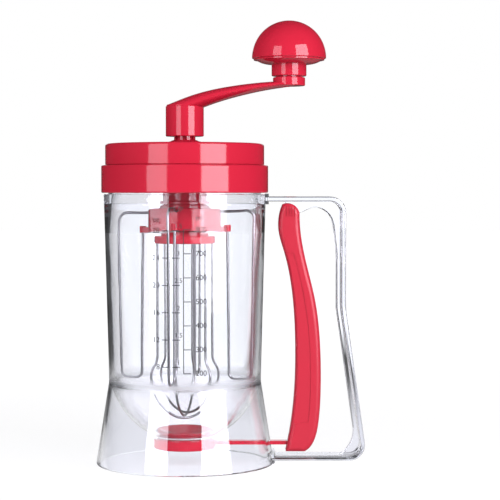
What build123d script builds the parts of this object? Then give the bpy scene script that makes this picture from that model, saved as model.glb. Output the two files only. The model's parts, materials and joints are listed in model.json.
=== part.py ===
"""Batter dispenser: a clear jug with a hand-cranked whisk in its lid and a trigger valve under its bowl.

Millimetres, +Z up. The origin is on the jug's axis, on the plane that the skirt stands on.
+X points to the handle and -Y to the front with the printed scale.
"""

import os
from math import acos, atan2, cos, degrees, hypot, pi, radians, sin, sqrt, tan

from build123d import *

os.makedirs("parts", exist_ok=True)

# Clearances
RUN_GAP = 0.3
PIN_GAP = 0.1
FIT_GAP = 0.05
PASS_GAP = 0.4

# Clear jug
FOOT_R = 56.0
WAIST_R = 47.8
WAIST_Z = 52.0
WAIST_ROUND = 14.0
SHOULDER_R = 50.9
SHOULDER_Z = 169.6
SHOULDER_STEP = 2.9
NECK_H = 11.6
NECK_TAPER = 24.0
JUG_WALL = 2.3
NECK_WALL = 2.2
SKIRT_WALL = 2.2
BOWL_INSET = 2.6
BOWL_WALL = 2.0
BOWL_Z = 60.6
SPIGOT_R = 19.85
SPIGOT_WALL = 1.9
SPIGOT_H = 2.18
JUG_ROUND = 0.7

# Pan-head screws, as shares of the head's radius, the head's height and the shank's radius
CROSS_L = 1.2
CROSS_W = 0.36
CROSS_DEPTH = 0.55
HEAD_CHAMFER = 0.3
TIP_CHAMFER = 0.4

# Lugs that the collar locks under
LUG_COUNT = 4
LUG_DEPTH = 1.9
LUG_H = 2.2
LUG_ANGLE = 28.0
COLLAR_LUG_ANGLE = 24.0
LUG_LIFT = 5.0

# Lid
COLLAR_WALL = 2.1
COLLAR_ROUND = 0.9
FLANGE_H = 2.2
CAP_WALL = 2.4
GEAR_HEADROOM = 4.1
CAP_ROUND = 1.8
CAP_SPIGOT_WALL = 2.2
BOSS_R = 14.0
BOSS_H = 2.3
BOSS_LIP = 0.9
FLOOR_T = 2.0
GASKET_T = 1.8
GASKET_LIP = 0.8
GASKET_LIP_H = 3.6

# Gear train in the lid
PRESSURE_ANGLE = 25.0
SUN_TEETH = 16
PLANET_TEETH = 14
RING_TEETH = SUN_TEETH + 2 * PLANET_TEETH
PLANET_COUNT = 3
ADDENDUM_SHARE = 0.8
DEDENDUM_SHARE = 1.1
FLANK_GAP = 0.14
GEAR_FACE = 7.0
RING_FLOOR_T = 1.7
RING_WALL = 2.75
PLANET_PIN_R = 2.5
PLANET_BOSS_R = 4.6
GEARBOX_SCREW_R = 1.3
GEARBOX_BOSS_R = 3.0
GEARBOX_BOSS_GAP = 1.0
RING_GAP = 1.4

# Spindle that the crank turns
SPLINE_R = 6.75
SPLINE_COUNT = 8
SPLINE_GROOVE = 1.9
SPLINE_DEPTH = 1.0
SPLINE_H = 15.0
NECK_SHOWN = 2.3
SUN_SEAT_AF = 11.6
SHAFT_R = 5.6
SQUARE_AF = 7.8

# Crank
CRANK_HUB_R = 11.95
CRANK_REACH = 65.5
CRANK_HUB_H = 19.1
CRANK_ROUND = 0.6
EYE_R = 10.1
EYE_RISE = 37.0
EYE_H = 5.25
ARM_STEP = 0.6

# Sections of the crank arm from the hub to the eye: share of the reach, and lower and upper edge above the
# hub's foot
ARM_SECTIONS = (
    (-0.18, 10.6, 19.7),
    (0.0, 13.6, 24.3),
    (0.186, 18.3, 28.2),
    (0.377, 22.6, 30.9),
    (0.568, 26.0, 32.8),
    (0.757, 28.7, 34.1),
    (0.948, 30.7, 34.8),
    (1.16, 32.0, 35.2),
)

# Knob
STEM_R = 10.95
STEM_H = 7.6
KNOB_R = 23.25
KNOB_UNDER_R = 20.6
KNOB_UNDER_H = 2.4
KNOB_RIM_H = 0.9
KNOB_SKIRT_H = 0.75
KNOB_STEP = 1.1
KNOB_WALL = 2.0
KNOB_SCREW_R = 3.0
KNOB_HEAD_SUNK = 0.3
KNOB_WASHER_R = 8.4
KNOB_WASHER_T = 0.65

# Frame that sweeps the wall
FRAME_ANGLE = -11.0
FRAME_COUNT = 4
FRAME_DROP = 32.5
FRAME_HUB_R = 22.95
FRAME_HUB_H = 14.2
FRAME_LIP_WALL = 1.95
FRAME_LIP_H = 2.5
TUBE_R = 13.85
TUBE_FLAT_DEPTH = 1.85
HUB_FLOOR_T = 3.0
FRAME_ARM_W = 4.2
FRAME_ARM_H = 3.4
FRAME_BLOCK_H = 4.2
FRAME_WIRE_R = 0.85
FRAME_NECK_GAP = 0.8
FRAME_BOWL_GAP = 1.6
FRAME_DIP = 8.0
FRAME_ARM_L = 4.25
FRAME_LEG_LEAN = 1.2
FRAME_WIRE_DROP = 1.6
FRAME_TOP_ROUND = 5.5
FRAME_LOW_ROUND = 4.6

# Whisk
WHISK_ANGLE = 17.0
WHISK_COUNT = 3
WHISK_NECK_R = 14.95
WHISK_NECK_H = 5.0
WHISK_FLANGE_R = 19.2
WHISK_FLANGE_H = 4.7
WHISK_WIRE_R = 0.75
WHISK_LEG_INSET = 1.3
WHISK_FLARE = 4.1
WHISK_FLARE_H = 13.0
WHISK_BULGE_H = 27.6
WHISK_LOW_GAP = 6.4
WHISK_TIP_R = 16.0
WHISK_FLOOR_T = 2.6
WIRE_SOCKET = 3.2

# Valve under the bowl
PLUG_H = 5.4
PLUG_FLANGE_T = 1.15
VALVE_FLOOR_T = 1.85
FUNNEL_RIM = 1.7
OUTLET_R = 6.5
GATE_T = 2.3
GATE_W = 17.0
GATE_COVER = 4.0
ROD_W = 6.0
SEAL_WALL = 2.1
SEAL_T = 1.3
O_RING_R = 0.9
O_RING_GROOVE_W = 2.0
THROAT_H = 1.6
VALVE_SCREW_SUNK = 0.3
VALVE_SCREW_REACH = 2.8

# Handle
STRAP_T = 3.2
STRAP_ROUND = 1.1
STRAP_W = 17.0
STRAP_DROP = 3.0
STRAP_LOW_Z = 3.8
GRIP_REACH = 48.6
GRIP_L = 68.6
GRIP_FLARE = 13.5
HANDLE_ROUND = 8.5
GRIP_BEND_ROUND = 60.0
WEB_T = 3.0
WEB_ROUND = 1.2
WEB_DEPTH = 2.9
WEB_END_H = 16.6
PAD_ANGLE = 22.0
PAD_H = 6.6
PAD_T = 1.9
LOW_PAD_Z = 0.8
LOW_PAD_T = 0.95

# Edge of the handle's web, as offsets from its inner corners: arch beside the pivot, and gusset at the bottom
ARCH = ((-1.3, -20.5), (-4.4, -8.7), (-13.5, -3.8), (-20.5, -6.4))
ARCH_H = 36.0
GUSSET = (-2.3, 6.4)
GUSSET_L = 8.4

# Trigger
PIVOT_REACH = 15.3
PIVOT_DROP = 8.6
PIVOT_R = 2.0
TAB_R = 3.8
TAB_ANGLE = -30.0
TRIGGER_W = 15.0
TRIGGER_FRONT_WALL = 1.8
TRIGGER_CORE_W = 9.2
TRIGGER_ROUND = 3.0
TOE_DROP = 5.2
PIVOT_COVER = 1.0
PANEL_DEPTH = 0.4
PANEL_BACK = 6.5
CAP_DEPTH = 0.5
CAP_DROP = 2.3
CAP_GROOVES = 4
CAP_GROOVE_W = 0.8
CAP_GROOVE_PITCH = 1.7
TRIGGER_RIB_T = 2.0
TRIGGER_RIB_DROP = 0.7
LINK_OFFSET = 2.2
LINK_R = 2.4
LINK_W = 9.8
LINK_GAP = 0.25
LINK_RISE = 2.6
SPRING_WIRE_R = 0.4
SPRING_R = 3.1
SPRING_TURNS = 2
SPRING_FOOT = 13.0

# Trigger outline from the pivot: each point is an offset in x and a share of the trigger's length downwards
FRONT_EDGE = (
    (-4.9, -0.0346), (-7.4, 0.0366), (-7.2, 0.0765), (-3.9, 0.16), (1.6, 0.346), (3.4, 0.559), (2.3, 0.785),
    (-2.8, 1.0),
)
HEEL_EDGE = ((9.1, 1.0), (12.4, 0.984), (15.0, 0.957), (16.7, 0.924))
BACK_EDGE = ((18.0, 0.875), (19.05, 0.79), (19.4, 0.69), (18.6, 0.52), (15.9, 0.372), (8.7, 0.168))
BACK_TOP = ((6.3, 0.067), (5.9, 0.0013))
CROWN = (1.5, -0.0355)
CORE_END = 0.818
RIB_PLACES = (0.268, 0.469, 0.67)

# Places worked out from the sizes above
RIM_Z = SHOULDER_Z + NECK_H
NECK_R = SHOULDER_R - SHOULDER_STEP
NECK_BORE_R = NECK_R - NECK_WALL
BOWL_R = WAIST_R - BOWL_INSET
BOWL_OUT_R = BOWL_R + BOWL_WALL
SPIGOT_BORE_R = SPIGOT_R - SPIGOT_WALL
SKIRT_SLOPE = (FOOT_R - WAIST_R) / WAIST_Z
WALL_SLOPE = (SHOULDER_R - WAIST_R) / (SHOULDER_Z - WAIST_Z)
TAPER_Z = SHOULDER_Z - NECK_TAPER
TAPER_BORE_R = SHOULDER_R - WALL_SLOPE * NECK_TAPER - JUG_WALL

SPIGOT_Z = BOWL_Z - sqrt(BOWL_OUT_R**2 - SPIGOT_R**2) - SPIGOT_H

COLLAR_LOW_Z = SHOULDER_Z + 2 * PASS_GAP
COLLAR_BORE_R = NECK_R + LUG_DEPTH + PASS_GAP
COLLAR_R = COLLAR_BORE_R + COLLAR_WALL
FLOOR_LOW_Z = RIM_Z + 2 * PIN_GAP + GASKET_T
FLOOR_TOP_Z = FLOOR_LOW_Z + FLOOR_T
FLOOR_R = COLLAR_BORE_R - PASS_GAP
FLANGE_LOW_Z = FLOOR_TOP_Z + RUN_GAP
COLLAR_TOP_Z = FLANGE_LOW_Z + FLANGE_H
CAP_LOW_Z = COLLAR_TOP_Z + 2 * PIN_GAP
CAP_R = COLLAR_BORE_R - PASS_GAP
CAP_SPIGOT_R = NECK_R
CAP_LEDGE_R = CAP_SPIGOT_R - CAP_SPIGOT_WALL
GEARBOX_BOSS_AT = CAP_LEDGE_R - GEARBOX_BOSS_GAP - GEARBOX_BOSS_R
RING_LOW_Z = FLOOR_TOP_Z + PASS_GAP
RING_FLOOR_Z = RING_LOW_Z + RING_FLOOR_T
GEAR_LOW_Z = RING_FLOOR_Z + PASS_GAP
GEAR_TOP_Z = GEAR_LOW_Z + GEAR_FACE
CAP_ROOF_Z = GEAR_TOP_Z + GEAR_HEADROOM
CAP_TOP_Z = CAP_ROOF_Z + CAP_WALL
RING_R = GEARBOX_BOSS_AT - GEARBOX_BOSS_R - RING_GAP
MODULE = (RING_R - RING_WALL) / (RING_TEETH / 2 + DEDENDUM_SHARE)
ADDENDUM = ADDENDUM_SHARE * MODULE
DEDENDUM = DEDENDUM_SHARE * MODULE
RING_PITCH_R = MODULE * RING_TEETH / 2
PLANET_AT = MODULE * (SUN_TEETH + PLANET_TEETH) / 2

BOSS_TOP_Z = CAP_TOP_Z + BOSS_H
CRANK_LOW_Z = BOSS_TOP_Z + NECK_SHOWN
EYE_TOP_Z = CRANK_LOW_Z + EYE_RISE
SPINDLE_TOP_Z = CRANK_LOW_Z + SPLINE_H

FRAME_HUB_Z = RIM_Z - FRAME_DROP
FRAME_HUB_TOP_Z = FRAME_HUB_Z + FRAME_HUB_H
FRAME_LIP_TOP_Z = FRAME_HUB_TOP_Z + FRAME_LIP_H
FRAME_LIP_R = TUBE_R + FRAME_LIP_WALL
FRAME_LOW_Z = BOWL_Z - FRAME_DIP
FRAME_TOP_R = NECK_BORE_R - FRAME_NECK_GAP - FRAME_WIRE_R
FRAME_LOW_R = sqrt(BOWL_R**2 - FRAME_DIP**2) - FRAME_BOWL_GAP - FRAME_WIRE_R
FRAME_LEG_TOP_R = FRAME_HUB_R + FRAME_ARM_L
FRAME_LEG_LOW_R = FRAME_LEG_TOP_R + FRAME_LEG_LEAN
TUBE_LOW_Z = FRAME_HUB_Z + HUB_FLOOR_T + FIT_GAP
TUBE_FLAT = TUBE_R - TUBE_FLAT_DEPTH
HUB_SCREW_AT = (SHAFT_R + RUN_GAP + TUBE_FLAT) / 2
WHISK_HUB_TOP_Z = FRAME_HUB_Z - PASS_GAP
WHISK_FLANGE_TOP_Z = WHISK_HUB_TOP_Z - WHISK_NECK_H
WHISK_HUB_LOW_Z = WHISK_FLANGE_TOP_Z - WHISK_FLANGE_H
SQUARE_LOW_Z = WHISK_HUB_LOW_Z + WHISK_FLOOR_T

FUNNEL_Z = SPIGOT_Z + PLUG_H
FLANGE_Z = SPIGOT_Z - FIT_GAP - PLUG_FLANGE_T
CHANNEL_TOP_Z = FLANGE_Z - FIT_GAP
GATE_TOP_Z = CHANNEL_TOP_Z - RUN_GAP
GATE_Z = GATE_TOP_Z - GATE_T / 2
GATE_LOW_Z = GATE_TOP_Z - GATE_T
CHANNEL_LOW_Z = GATE_LOW_Z - RUN_GAP
VALVE_LOW_Z = CHANNEL_LOW_Z - VALVE_FLOOR_T
VALVE_SCREW_AT = (GATE_W / 2 + RUN_GAP + SPIGOT_R) / 2
PLUG_R = SPIGOT_BORE_R - FIT_GAP
FUNNEL_R = PLUG_R - FUNNEL_RIM
GATE_TIP_X = -(OUTLET_R + GATE_COVER)
GATE_END_X = -GATE_TIP_X + GATE_W / 2

WHISK_LEG_R = WHISK_FLANGE_R - WHISK_LEG_INSET
WHISK_BULGE_R = WHISK_LEG_R + WHISK_FLARE
WHISK_LOW_Z = FUNNEL_Z + WHISK_LOW_GAP
WHISK_BULGE_Z = WHISK_LOW_Z + WHISK_BULGE_H

STRAP_TOP_Z = SHOULDER_Z - STRAP_DROP
GRIP_X = SHOULDER_R + GRIP_REACH
GRIP_LOW_X = GRIP_X + GRIP_FLARE
GRIP_BEND_Z = STRAP_TOP_Z - GRIP_L
PIVOT_X = SHOULDER_R + PIVOT_REACH
PIVOT_Z = STRAP_TOP_Z - PIVOT_DROP
LINK_X = PIVOT_X + LINK_OFFSET
TRIGGER_L = PIVOT_Z - GATE_Z + TOE_DROP

KNOB_LOW_Z = EYE_TOP_Z + KNOB_WASHER_T + 2 * FIT_GAP
KNOB_UNDER_Z = KNOB_LOW_Z + STEM_H
KNOB_RIM_Z = KNOB_UNDER_Z + KNOB_UNDER_H
DOME_LOW_Z = KNOB_RIM_Z + KNOB_RIM_H


def radial_plane(angle):
    """Upright plane through the jug's axis, with its x outwards at the angle and its y up."""
    turn = radians(angle)
    return Plane(origin=(0, 0, 0), x_dir=(cos(turn), sin(turn), 0), z_dir=(sin(turn), -cos(turn), 0))


def polar(radius, angle):
    """Point at a radius and an angle in degrees."""
    return radius * cos(radians(angle)), radius * sin(radians(angle))


def level(z):
    """Horizontal plane at a height."""
    return Plane.XY.offset(z)


def sphere_z(radius, r):
    """Height of the bowl's lower surface at a distance from the axis."""
    return BOWL_Z - sqrt(radius**2 - r**2)


def bowl_middle(radius, start, end):
    """Point on the bowl's profile halfway between two of its points."""
    first = atan2(start[1] - BOWL_Z, start[0])
    last = atan2(end[1] - BOWL_Z, end[0])
    middle = (first + last) / 2
    return radius * cos(middle), BOWL_Z + radius * sin(middle)


def ring_sector(inner, outer, middle, arc):
    """Piece of a flat ring between two radii, centred on an angle."""
    start = middle - arc / 2
    with BuildSketch() as sector:
        with BuildLine():
            CenterArc((0, 0), outer, start, arc)
            CenterArc((0, 0), inner, start, arc)
            for angle in (start, start + arc):
                Line(polar(inner, angle), polar(outer, angle))
        make_face()
    return sector.sketch


def involute(angle):
    """Involute function of a pressure angle in radians."""
    return tan(angle) - angle


def gear_outline(teeth, tip_r, root_r, thickening):
    """Spur gear with involute flanks, one tooth centred on the x axis.

    The thickening is added to the tooth's width at the pitch circle.
    """
    pitch_r = MODULE * teeth / 2
    pressure = radians(PRESSURE_ANGLE)
    base_r = pitch_r * cos(pressure)
    half_pitch = (pi * MODULE / 2 + thickening) / (2 * pitch_r)

    def half_angle(r):
        slope = acos(min(1.0, base_r / r))
        return degrees(half_pitch + involute(pressure) - involute(slope))

    tip, root = half_angle(tip_r), half_angle(root_r)
    mid_r = (tip_r + max(root_r, base_r)) / 2
    mid = half_angle(mid_r)
    step = 360 / teeth
    with BuildSketch() as outline:
        with BuildLine():
            for tooth in range(teeth):
                at = tooth * step
                ThreePointArc(polar(root_r, at - root), polar(mid_r, at - mid), polar(tip_r, at - tip))
                CenterArc((0, 0), tip_r, at - tip, 2 * tip)
                ThreePointArc(polar(tip_r, at + tip), polar(mid_r, at + mid), polar(root_r, at + root))
                CenterArc((0, 0), root_r, at + root, step - 2 * root)
        make_face()
    return outline.sketch


def pan_screw(head_r, head_h, shank_r, length):
    """Screw that points up: the head's top face is at z = 0, the tip at head_h + length."""
    cross_l = head_r * CROSS_L
    cross_w = head_r * CROSS_W
    with BuildPart() as screw:
        with BuildSketch():
            Circle(head_r)
        extrude(amount=head_h)
        chamfer(screw.edges().sort_by(Axis.Z)[0], head_h * HEAD_CHAMFER)
        with BuildSketch(level(head_h)):
            Circle(shank_r)
        extrude(amount=length)
        chamfer(screw.edges().sort_by(Axis.Z)[-1], shank_r * TIP_CHAMFER)
        with BuildSketch():
            Rectangle(cross_l, cross_w)
            Rectangle(cross_w, cross_l)
        extrude(amount=head_h * CROSS_DEPTH, mode=Mode.SUBTRACT)
    return screw.part


# Clear jug: wall, bowl, spigot and skirt in one moulding
skirt_bore = FOOT_R - SKIRT_WALL
crotch_b = skirt_bore * SKIRT_SLOPE + BOWL_Z
crotch_a = 1 + SKIRT_SLOPE**2
crotch_c = skirt_bore**2 + BOWL_Z**2 - BOWL_OUT_R**2
CROTCH_Z = (crotch_b - sqrt(crotch_b**2 - crotch_a * crotch_c)) / crotch_a
CROTCH = (skirt_bore - SKIRT_SLOPE * CROTCH_Z, CROTCH_Z)
BOWL_LOW_OUT = (SPIGOT_R, sphere_z(BOWL_OUT_R, SPIGOT_R))
BOWL_LOW_IN = (SPIGOT_BORE_R, sphere_z(BOWL_R, SPIGOT_BORE_R))
LUG_LOW_Z = SHOULDER_Z + LUG_LIFT
SLOT_W = ROD_W + 4 * RUN_GAP
SLOT_H = GATE_T + 8 * RUN_GAP
SLOT_ROUND = 1.4

with BuildPart() as jug_body:
    with BuildSketch(Plane.XZ) as jug_profile:
        with BuildLine():
            Polyline(
                (NECK_BORE_R, SHOULDER_Z),
                (NECK_BORE_R, RIM_Z),
                (NECK_R, RIM_Z),
                (NECK_R, SHOULDER_Z),
                (SHOULDER_R, SHOULDER_Z),
                (WAIST_R, WAIST_Z),
                (FOOT_R, 0),
                (skirt_bore, 0),
                CROTCH,
            )
            ThreePointArc(CROTCH, bowl_middle(BOWL_OUT_R, CROTCH, BOWL_LOW_OUT), BOWL_LOW_OUT)
            Polyline(BOWL_LOW_OUT, (SPIGOT_R, SPIGOT_Z), (SPIGOT_BORE_R, SPIGOT_Z), BOWL_LOW_IN)
            ThreePointArc(BOWL_LOW_IN, bowl_middle(BOWL_R, BOWL_LOW_IN, (BOWL_R, BOWL_Z)), (BOWL_R, BOWL_Z))
            Polyline(
                (BOWL_R, BOWL_Z),
                (TAPER_BORE_R, TAPER_Z),
                (NECK_BORE_R, SHOULDER_Z),
            )
        make_face()
        corners = jug_profile.vertices()
        fillet(corners.sort_by_distance((WAIST_R, WAIST_Z))[0], WAIST_ROUND)
        for corner in ((FOOT_R, 0), (skirt_bore, 0), (SHOULDER_R, SHOULDER_Z), (NECK_R, RIM_Z)):
            fillet(jug_profile.vertices().sort_by_distance(corner)[0], JUG_ROUND)
    revolve(axis=Axis.Z)
    with BuildSketch(level(LUG_LOW_Z)):
        for lug in range(LUG_COUNT):
            turn = lug * 360 / LUG_COUNT
            add(ring_sector(NECK_R - NECK_WALL / 2, NECK_R + LUG_DEPTH, turn, LUG_ANGLE))
    extrude(amount=LUG_H)
    with BuildSketch(Plane.YZ):
        with Locations((0, GATE_Z)):
            RectangleRounded(SLOT_W, SLOT_H, SLOT_ROUND)
    extrude(amount=2 * FOOT_R, mode=Mode.SUBTRACT)
jug_body.part.label = "jug_body"
export_step(jug_body.part, "parts/jug_body.step")

# Clear handle: strap with a web in its middle plane, and a pad at each end that is bonded to the jug
STRAP_UNDER_Z = STRAP_TOP_Z - STRAP_T / 2
STRAP_FLOOR_Z = STRAP_LOW_Z + STRAP_T / 2
WEB_X = GRIP_X - STRAP_T / 2 - WEB_DEPTH
GRIP_LEAN = (GRIP_LOW_X - GRIP_X) / (GRIP_BEND_Z - STRAP_LOW_Z)
WEB_END_Z = STRAP_FLOOR_Z + WEB_END_H
WEB_END_X = WEB_X + GRIP_LEAN * (GRIP_BEND_Z - WEB_END_Z)
ARCH_END_Z = STRAP_UNDER_Z - ARCH_H
GUSSET_END_X = WEB_END_X - GUSSET_L
arch = [(WEB_X + dx, STRAP_UNDER_Z + dz) for dx, dz in ARCH]
gusset = (WEB_END_X + GUSSET[0], STRAP_FLOOR_Z + GUSSET[1])
TAB_SIDE = (PIVOT_X + polar(TAB_R, TAB_ANGLE)[0], PIVOT_Z + polar(TAB_R, TAB_ANGLE)[1])
STRAP_START = (NECK_BORE_R, 0, STRAP_TOP_Z)

with BuildPart() as handle_web:
    with BuildSketch(Plane.XZ):
        with BuildLine():
            Polyline(
                (PIVOT_X - TAB_R, PIVOT_Z),
                (PIVOT_X - TAB_R, STRAP_TOP_Z),
                (GRIP_X - HANDLE_ROUND, STRAP_TOP_Z),
                (GRIP_X, STRAP_TOP_Z - HANDLE_ROUND),
                (GRIP_X, GRIP_BEND_Z),
                (GRIP_LOW_X - GRIP_LEAN * HANDLE_ROUND, STRAP_LOW_Z + HANDLE_ROUND),
                (GRIP_LOW_X - HANDLE_ROUND, STRAP_LOW_Z),
                (GUSSET_END_X, STRAP_LOW_Z),
                (GUSSET_END_X, STRAP_FLOOR_Z),
            )
            gusset_edge = ThreePointArc((GUSSET_END_X, STRAP_FLOOR_Z), gusset, (WEB_END_X, WEB_END_Z))
            grip_edge = Polyline((WEB_END_X, WEB_END_Z), (WEB_X, GRIP_BEND_Z), (WEB_X, ARCH_END_Z))
            arch_edge = Spline((WEB_X, ARCH_END_Z), *arch, TAB_SIDE, tangents=((0, 1), (-1, -1)))
            ThreePointArc(TAB_SIDE, (PIVOT_X, PIVOT_Z - TAB_R), (PIVOT_X - TAB_R, PIVOT_Z))
        make_face()
    extrude(amount=WEB_T / 2, both=True)
    rim = [edge @ 0.5 for run in (gusset_edge, grip_edge, arch_edge) for edge in run.edges()]
    on_rim = [
        edge
        for edge in handle_web.faces().filter_by(Axis.Y).edges()
        if min(hypot((edge @ 0.5).X - at.X, (edge @ 0.5).Z - at.Y) for at in rim) < FIT_GAP
    ]
    fillet(on_rim, WEB_ROUND)

with BuildPart() as handle:
    with BuildLine():
        FilletPolyline(
            STRAP_START,
            (GRIP_X, 0, STRAP_TOP_Z),
            (GRIP_X, 0, GRIP_BEND_Z),
            (GRIP_LOW_X, 0, STRAP_LOW_Z),
            (WAIST_R, 0, STRAP_LOW_Z),
            radius=(HANDLE_ROUND, GRIP_BEND_ROUND, HANDLE_ROUND),
        )
    with BuildSketch(Plane(origin=STRAP_START, x_dir=(0, 1, 0), z_dir=(1, 0, 0))):
        RectangleRounded(STRAP_W, STRAP_T, STRAP_ROUND)
    sweep()
    add(handle_web.part)
    with BuildSketch(Plane.XZ):
        with Locations((PIVOT_X, PIVOT_Z)):
            Circle(PIVOT_R + FIT_GAP)
    extrude(amount=WEB_T, both=True, mode=Mode.SUBTRACT)
    with BuildSketch(level(STRAP_TOP_Z - PAD_H / 2)):
        add(ring_sector(NECK_BORE_R, SHOULDER_R + PAD_T, 0, PAD_ANGLE))
    extrude(amount=PAD_H)
    with BuildSketch(level(LOW_PAD_Z)):
        add(ring_sector(WAIST_R, FOOT_R + LOW_PAD_T, 0, PAD_ANGLE))
    extrude(amount=PAD_H)
    with BuildSketch(Plane.XZ):
        with BuildLine():
            Polyline(
                (0, -PAD_H),
                (FOOT_R + FIT_GAP + SKIRT_SLOPE * PAD_H, -PAD_H),
                (WAIST_R + FIT_GAP, WAIST_Z),
                (SHOULDER_R + FIT_GAP, SHOULDER_Z),
                (SHOULDER_R + FIT_GAP, SHOULDER_Z + PAD_H),
                (0, SHOULDER_Z + PAD_H),
                close=True,
            )
        make_face()
    revolve(axis=Axis.Z, mode=Mode.SUBTRACT)
handle.part.label = "handle"
export_step(handle.part, "parts/handle.step")

# Valve plug with the funnel, pushed into the spigot from below
THROAT_Z = SPIGOT_Z + THROAT_H
O_RING_AT = PLUG_R - O_RING_R
O_RING_Z = (SPIGOT_Z + BOWL_LOW_IN[1]) / 2
SEAL_R = OUTLET_R + SEAL_WALL
SEAL_LOW_Z = GATE_TOP_Z + PIN_GAP
VALVE_SCREW_HEAD_R = 2.4
VALVE_SCREW_HEAD_H = 1.7
VALVE_SCREW_R = 1.2
VALVE_SCREW_Z = VALVE_LOW_Z + VALVE_SCREW_SUNK
VALVE_SCREW_TIP_Z = SPIGOT_Z + VALVE_SCREW_REACH

with BuildPart() as valve_plug:
    with BuildSketch(Plane.XZ) as plug_profile:
        with BuildLine():
            Polyline(
                (SEAL_R + FIT_GAP, FLANGE_Z),
                (SPIGOT_R, FLANGE_Z),
                (SPIGOT_R, SPIGOT_Z - FIT_GAP),
                (PLUG_R, SPIGOT_Z - FIT_GAP),
                (PLUG_R, FUNNEL_Z),
                (FUNNEL_R, FUNNEL_Z),
                (OUTLET_R, THROAT_Z),
                (OUTLET_R, SEAL_LOW_Z + SEAL_T + FIT_GAP),
                (SEAL_R + FIT_GAP, SEAL_LOW_Z + SEAL_T + FIT_GAP),
                close=True,
            )
        make_face()
        fillet(plug_profile.vertices().sort_by_distance((PLUG_R, FUNNEL_Z))[0], JUG_ROUND)
        with Locations((PLUG_R, O_RING_Z)):
            Rectangle(4 * O_RING_R, O_RING_GROOVE_W, mode=Mode.SUBTRACT)
    revolve(axis=Axis.Z)
    with BuildSketch(level(FLANGE_Z)):
        with PolarLocations(VALVE_SCREW_AT, 2, start_angle=90):
            Circle(VALVE_SCREW_R + FIT_GAP)
    extrude(amount=VALVE_SCREW_TIP_Z + RUN_GAP - FLANGE_Z, mode=Mode.SUBTRACT)
valve_plug.part.label = "valve_plug"
export_step(valve_plug.part, "parts/valve_plug.step")

# Ring in the groove between plug and spigot
with BuildPart() as valve_o_ring:
    with BuildSketch(Plane.XZ):
        with Locations((O_RING_AT, O_RING_Z)):
            Circle(O_RING_R)
    revolve(axis=Axis.Z)
valve_o_ring.part.label = "valve_o_ring"
export_step(valve_o_ring.part, "parts/valve_o_ring.step")

# Soft seal around the outlet, which the gate wipes
with BuildPart() as valve_seal:
    with BuildSketch(level(SEAL_LOW_Z)):
        Circle(SEAL_R)
        Circle(OUTLET_R, mode=Mode.SUBTRACT)
    extrude(amount=SEAL_T)
valve_seal.part.label = "valve_seal"
export_step(valve_seal.part, "parts/valve_seal.step")

# Valve cap with the channel that the gate slides in
with BuildPart() as valve_cap:
    with BuildSketch(level(VALVE_LOW_Z)):
        Circle(SPIGOT_R)
    extrude(amount=CHANNEL_TOP_Z - VALVE_LOW_Z)
    fillet(valve_cap.edges().sort_by(Axis.Z)[0], JUG_ROUND)
    with BuildSketch(level(CHANNEL_LOW_Z)):
        with Locations((GATE_TIP_X + GATE_W / 2, 0)):
            Circle(GATE_W / 2 + RUN_GAP)
            Rectangle(2 * FOOT_R, GATE_W + 2 * RUN_GAP, align=(Align.MIN, Align.CENTER))
    extrude(amount=CHANNEL_TOP_Z, mode=Mode.SUBTRACT)
    with BuildSketch(level(VALVE_LOW_Z)):
        Circle(OUTLET_R)
        with PolarLocations(VALVE_SCREW_AT, 2, start_angle=90):
            Circle(VALVE_SCREW_R + PIN_GAP)
    extrude(amount=CHANNEL_TOP_Z, mode=Mode.SUBTRACT)
    with BuildSketch(level(VALVE_LOW_Z)):
        with PolarLocations(VALVE_SCREW_AT, 2, start_angle=90):
            Circle(VALVE_SCREW_HEAD_R + PIN_GAP)
    extrude(amount=VALVE_SCREW_Z + VALVE_SCREW_HEAD_H - VALVE_LOW_Z, mode=Mode.SUBTRACT)
valve_cap.part.label = "valve_cap"
export_step(valve_cap.part, "parts/valve_cap.step")

VALVE_SCREW_L = VALVE_SCREW_TIP_Z - VALVE_SCREW_Z - VALVE_SCREW_HEAD_H
valve_screw = pan_screw(VALVE_SCREW_HEAD_R, VALVE_SCREW_HEAD_H, VALVE_SCREW_R, VALVE_SCREW_L)
with BuildPart(level(VALVE_SCREW_Z)) as valve_screws:
    with PolarLocations(VALVE_SCREW_AT, 2, start_angle=90):
        add(valve_screw)
valve_screws.part.label = "valve_screws"
export_step(valve_screws.part, "parts/valve_screws.step")

# Gate: plate over the outlet, rod through the skirt, cross bar in the trigger's toe
with BuildPart() as gate:
    with BuildSketch(level(GATE_LOW_Z)):
        with Locations((GATE_TIP_X + GATE_W / 2, 0)):
            Circle(GATE_W / 2)
            Rectangle(GATE_END_X - GATE_TIP_X - GATE_W / 2, GATE_W, align=(Align.MIN, Align.CENTER))
        with Locations((GATE_END_X - ROD_W, 0)):
            Rectangle(LINK_X - GATE_END_X + ROD_W, ROD_W, align=(Align.MIN, Align.CENTER))
    extrude(amount=GATE_T)
    with BuildSketch(Plane.XZ):
        with Locations((LINK_X, GATE_Z)):
            Circle(LINK_R)
    extrude(amount=LINK_W / 2, both=True)
gate.part.label = "gate"
export_step(gate.part, "parts/gate.step")

# Trigger: smooth in front, cored from behind with cross ribs
TRIGGER_PLANE = Plane(origin=(PIVOT_X, 0, PIVOT_Z), x_dir=(1, 0, 0), z_dir=(0, -1, 0))
CORE_TOP = 12.0


def trigger_points(points):
    """Points of the trigger's outline in millimetres from the pivot."""
    return [(x, -share * TRIGGER_L) for x, share in points]


front_edge = trigger_points(FRONT_EDGE)
heel_edge = trigger_points(HEEL_EDGE)
back_edge = trigger_points(BACK_EDGE)
back_top = trigger_points(BACK_TOP)
crown = trigger_points([CROWN])[0]

with BuildSketch() as trigger_outline:
    with BuildLine():
        Spline(*front_edge)
        Line(front_edge[-1], heel_edge[0])
        Spline(*heel_edge, *back_edge, *back_top)
        ThreePointArc(back_top[-1], crown, front_edge[0])
    make_face()

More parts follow.
